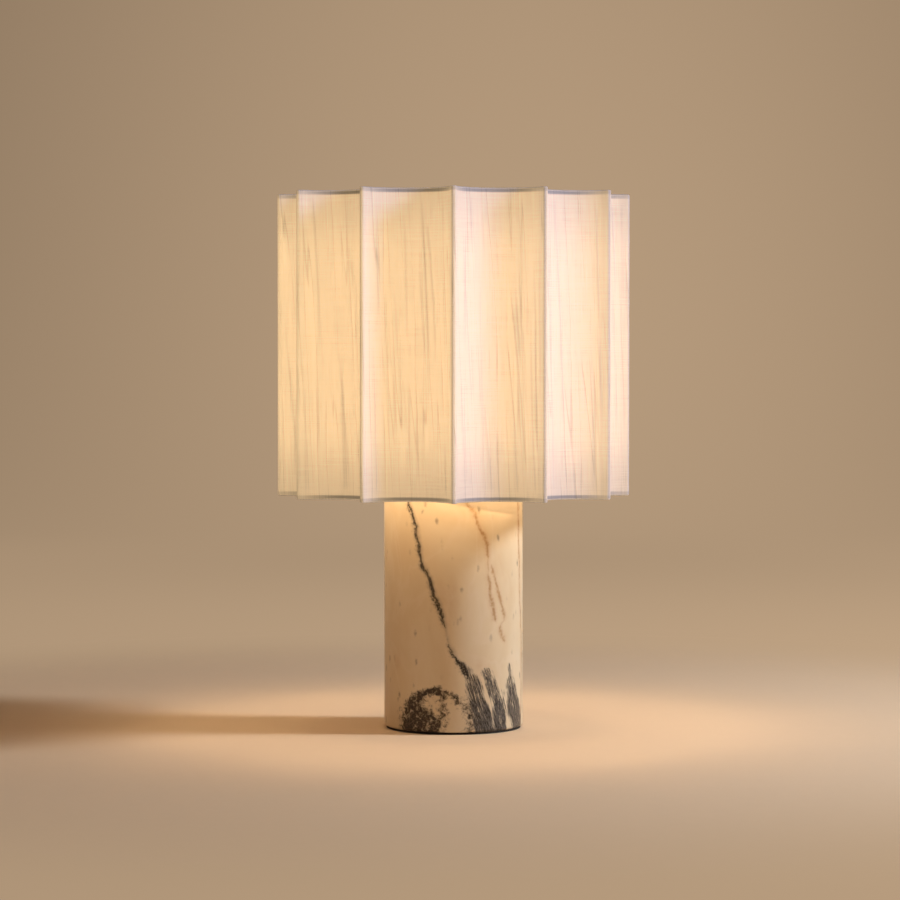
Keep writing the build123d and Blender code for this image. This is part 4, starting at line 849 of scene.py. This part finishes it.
finishes = {
    "pad_foam": finish(((0.012, 0.012, 0.013), (0.035, 0.034, 0.033)), (0.82, 0.95), 60, cells=1500, depth=0.4,
                       cellShare=0.6),
    "zinc_steel": finish(((0.5, 0.51, 0.53), (0.66, 0.66, 0.64)), (0.3, 0.48), 40, cells=260, depth=0.02,
                         cellShare=0.35, metal=1.0, stain=(0.44, 0.42, 0.36), stainShare=0.35),
    "black_rubber": finish(((0.018, 0.018, 0.019), (0.04, 0.039, 0.038)), (0.62, 0.8), 500, 900, 0.04),
    "lead_sheath": finish(((0.66, 0.65, 0.6), (0.74, 0.73, 0.68)), (0.45, 0.6), 180, (1300, 1300, 30), 0.03,
                          stain=(0.5, 0.46, 0.38), stainShare=0.25),
    "core_insulation": finish(((0.12, 0.055, 0.03), (0.16, 0.075, 0.04)), (0.38, 0.55), 300, (1500, 1500, 40),
                              0.02),
    "white_nylon": finish(((0.74, 0.74, 0.69), (0.8, 0.79, 0.75)), (0.42, 0.58), 160, 1200, 0.02),
    "brass": finish(((0.58, 0.385, 0.145), (0.68, 0.48, 0.21)), (0.24, 0.4), 55, 2600, 0.03, metal=1.0,
                    turned=True, lineShare=0.35, stain=(0.36, 0.21, 0.085), stainShare=0.45),
    "harp_brass": finish(((0.55, 0.38, 0.17), (0.64, 0.47, 0.23)), (0.28, 0.46), 70, (420, 420, 90), 0.03,
                         metal=1.0, lineShare=0.3, stain=(0.3, 0.19, 0.09), stainShare=0.4),
    "screw_steel": finish(((0.36, 0.36, 0.37), (0.5, 0.5, 0.5)), (0.3, 0.5), 200, (1800, 1800, 400), 0.02,
                          metal=1.0, lineShare=0.3, stain=(0.17, 0.15, 0.13), stainShare=0.4),
    "fibre": finish(((0.13, 0.095, 0.065), (0.2, 0.155, 0.11)), (0.7, 0.88), 120, (260, 260, 1600), 0.06,
                    lineShare=0.5),
    "phenolic": finish(((0.012, 0.01, 0.009), (0.03, 0.022, 0.016)), (0.16, 0.32), 420, 900, 0.02),
    "contact_metal": finish(((0.6, 0.6, 0.58), (0.74, 0.73, 0.7)), (0.26, 0.42), 90, 1500, 0.03, metal=1.0,
                            turned=True, lineShare=0.3, stain=(0.34, 0.31, 0.27), stainShare=0.35),
    "contact_brass": finish(((0.53, 0.35, 0.13), (0.64, 0.45, 0.2)), (0.26, 0.44), 140, (1600, 250, 1600), 0.03,
                            metal=1.0, lineShare=0.3, stain=(0.27, 0.15, 0.06), stainShare=0.4),
    "knob_plastic": finish(((0.02, 0.019, 0.018), (0.032, 0.03, 0.028)), (0.34, 0.5), 350, 1400, 0.05,
                           stain=(0.07, 0.065, 0.06), stainShare=0.3),
    "bulb_tin": finish(((0.5, 0.5, 0.5), (0.66, 0.66, 0.65)), (0.34, 0.56), 600, 1500, 0.05, metal=1.0,
                       lineShare=0.3),
    "bulb_glass_black": finish(((0.01, 0.01, 0.012), (0.022, 0.021, 0.022)), (0.1, 0.22), 300, 500, 0.03),
    "bulb_nickel": finish(((0.6, 0.59, 0.56), (0.7, 0.69, 0.66)), (0.16, 0.34), 80, 1900, 0.02, metal=1.0,
                          turned=True, lineShare=0.3, stain=(0.36, 0.33, 0.28), stainShare=0.35),
    "bulb_plastic": finish(((0.76, 0.75, 0.72), (0.81, 0.8, 0.78)), (0.34, 0.48), 60, 1500, 0.03,
                           stain=(0.66, 0.6, 0.5), stainShare=0.4),
    "opal": finish(((0.66, 0.64, 0.58), (0.72, 0.7, 0.64)), (0.36, 0.5), 50, 1300, 0.02, glow=(1, 0.74, 0.44),
                   glowShare=0.42),
    "board_white": finish(((0.74, 0.74, 0.71), (0.8, 0.8, 0.77)), (0.22, 0.36), 260, (1800, 300, 300), 0.02),
    "board_green": finish(((0.01, 0.06, 0.022), (0.018, 0.095, 0.036)), (0.2, 0.34), 420, (1600, 200, 1600),
                          0.03, lineShare=0.35, stain=(0.3, 0.19, 0.07), stainShare=0.5),
    "frame_enamel": finish(((0.76, 0.74, 0.69), (0.82, 0.8, 0.76)), (0.36, 0.52), 130, 900, 0.08,
                           stain=(0.58, 0.5, 0.38), stainShare=0.3),
}

# what the finishes share: where their noises spread, and how far they act
finishLook = {
    "cloudFades": (0.32, 0.68), "markFades": (0.50, 0.34), "markTone": 0.72, "cellTone": 0.62, "cellRelief": 0.9,
    "stainScale": 2.3, "stainFades": (0.54, 0.76), "roughFades": (0.3, 0.7), "cloudRough": 0.7, "markRough": 0.3,
    "reliefStrength": 0.6, "lineShare": 0.2, "glowFades": (0.2, 0.8, 0.92, 1.0),
}


# A hard finish: two tones in clouds, tool marks or grain from drawn-out noise, stains, cells where it has them.
# On a turned piece the marks follow (distance from the lamp's axis, height), so they run round the piece.
def finishMaterial(slot, look):
    made, output, place = startMaterial(slot + "Finish")
    clouds = grain(place, look["clouds"], 4.0, 0.6, 0.3)
    colour = tint(spread(clouds, *finishLook["cloudFades"]), *look["tones"])
    marks = 0.5
    if look["lines"]:
        markPlace = placeOf(fromAxis(place), 0.0, axesOf(place)[2]) if look.get("turned") else place
        scales = look["lines"] if isinstance(look["lines"], tuple) else (look["lines"],) * 3
        marks = drawn(markPlace, scales, 3.0, 0.65)
        markShare = spread(marks, *finishLook["markFades"], 0.0, look.get("lineShare", finishLook["lineShare"]))
        colour = tint(markShare, colour, [c * finishLook["markTone"] for c in look["tones"][0]])
    if "cells" in look:
        cell = add("TexVoronoi", {"Vector": place, "Scale": look["cells"]}, feature="F1")
        marks = times(cell.outputs["Distance"], finishLook["cellRelief"])
        cellShare = times(axesOf(cell.outputs["Color"])[0], look["cellShare"])
        colour = tint(cellShare, colour, [c * finishLook["cellTone"] for c in look["tones"][0]])
    if "stain" in look:
        stains = grain(place, look["clouds"] * finishLook["stainScale"], 5.0, 0.65, 0.8)
        stainShare = spread(stains, *finishLook["stainFades"], 0.0, look["stainShare"])
        colour = tint(stainShare, colour, look["stain"])
    low, high = look["rough"]
    rough = spread(clouds, *finishLook["roughFades"])
    rough = plus(low, rough, finishLook["cloudRough"] * (high - low))
    rough = plus(rough, marks, finishLook["markRough"] * (high - low))
    relief = reliefOf(marks, finishLook["reliefStrength"], look["depth"])
    inputs = {"Base Color": colour, "Roughness": rough, "Normal": relief, "Metallic": look.get("metal", 0.0)}
    if "glow" in look:
        glowLevel = spread(clouds, *finishLook["glowFades"])
        inputs["Emission Color"] = tint(glowLevel, (0.0, 0.0, 0.0), look["glow"])
        inputs["Emission Strength"] = look["glowShare"]
    feed(output, "Surface", add("BsdfPrincipled", inputs).outputs[0])
    return made


# The record's name of the material that a CAD slot came with.
def slotName(materialSlot):
    return materialSlot.material.name.split(".")[0] if materialSlot.material else ""


for slot, look in finishes.items():
    wearers = [name for name, piece in nodes.items() if slot in map(slotName, piece.material_slots)]
    dress(finishMaterial(slot, look), *wearers)
    print("finish:", slot, "on", len(wearers))
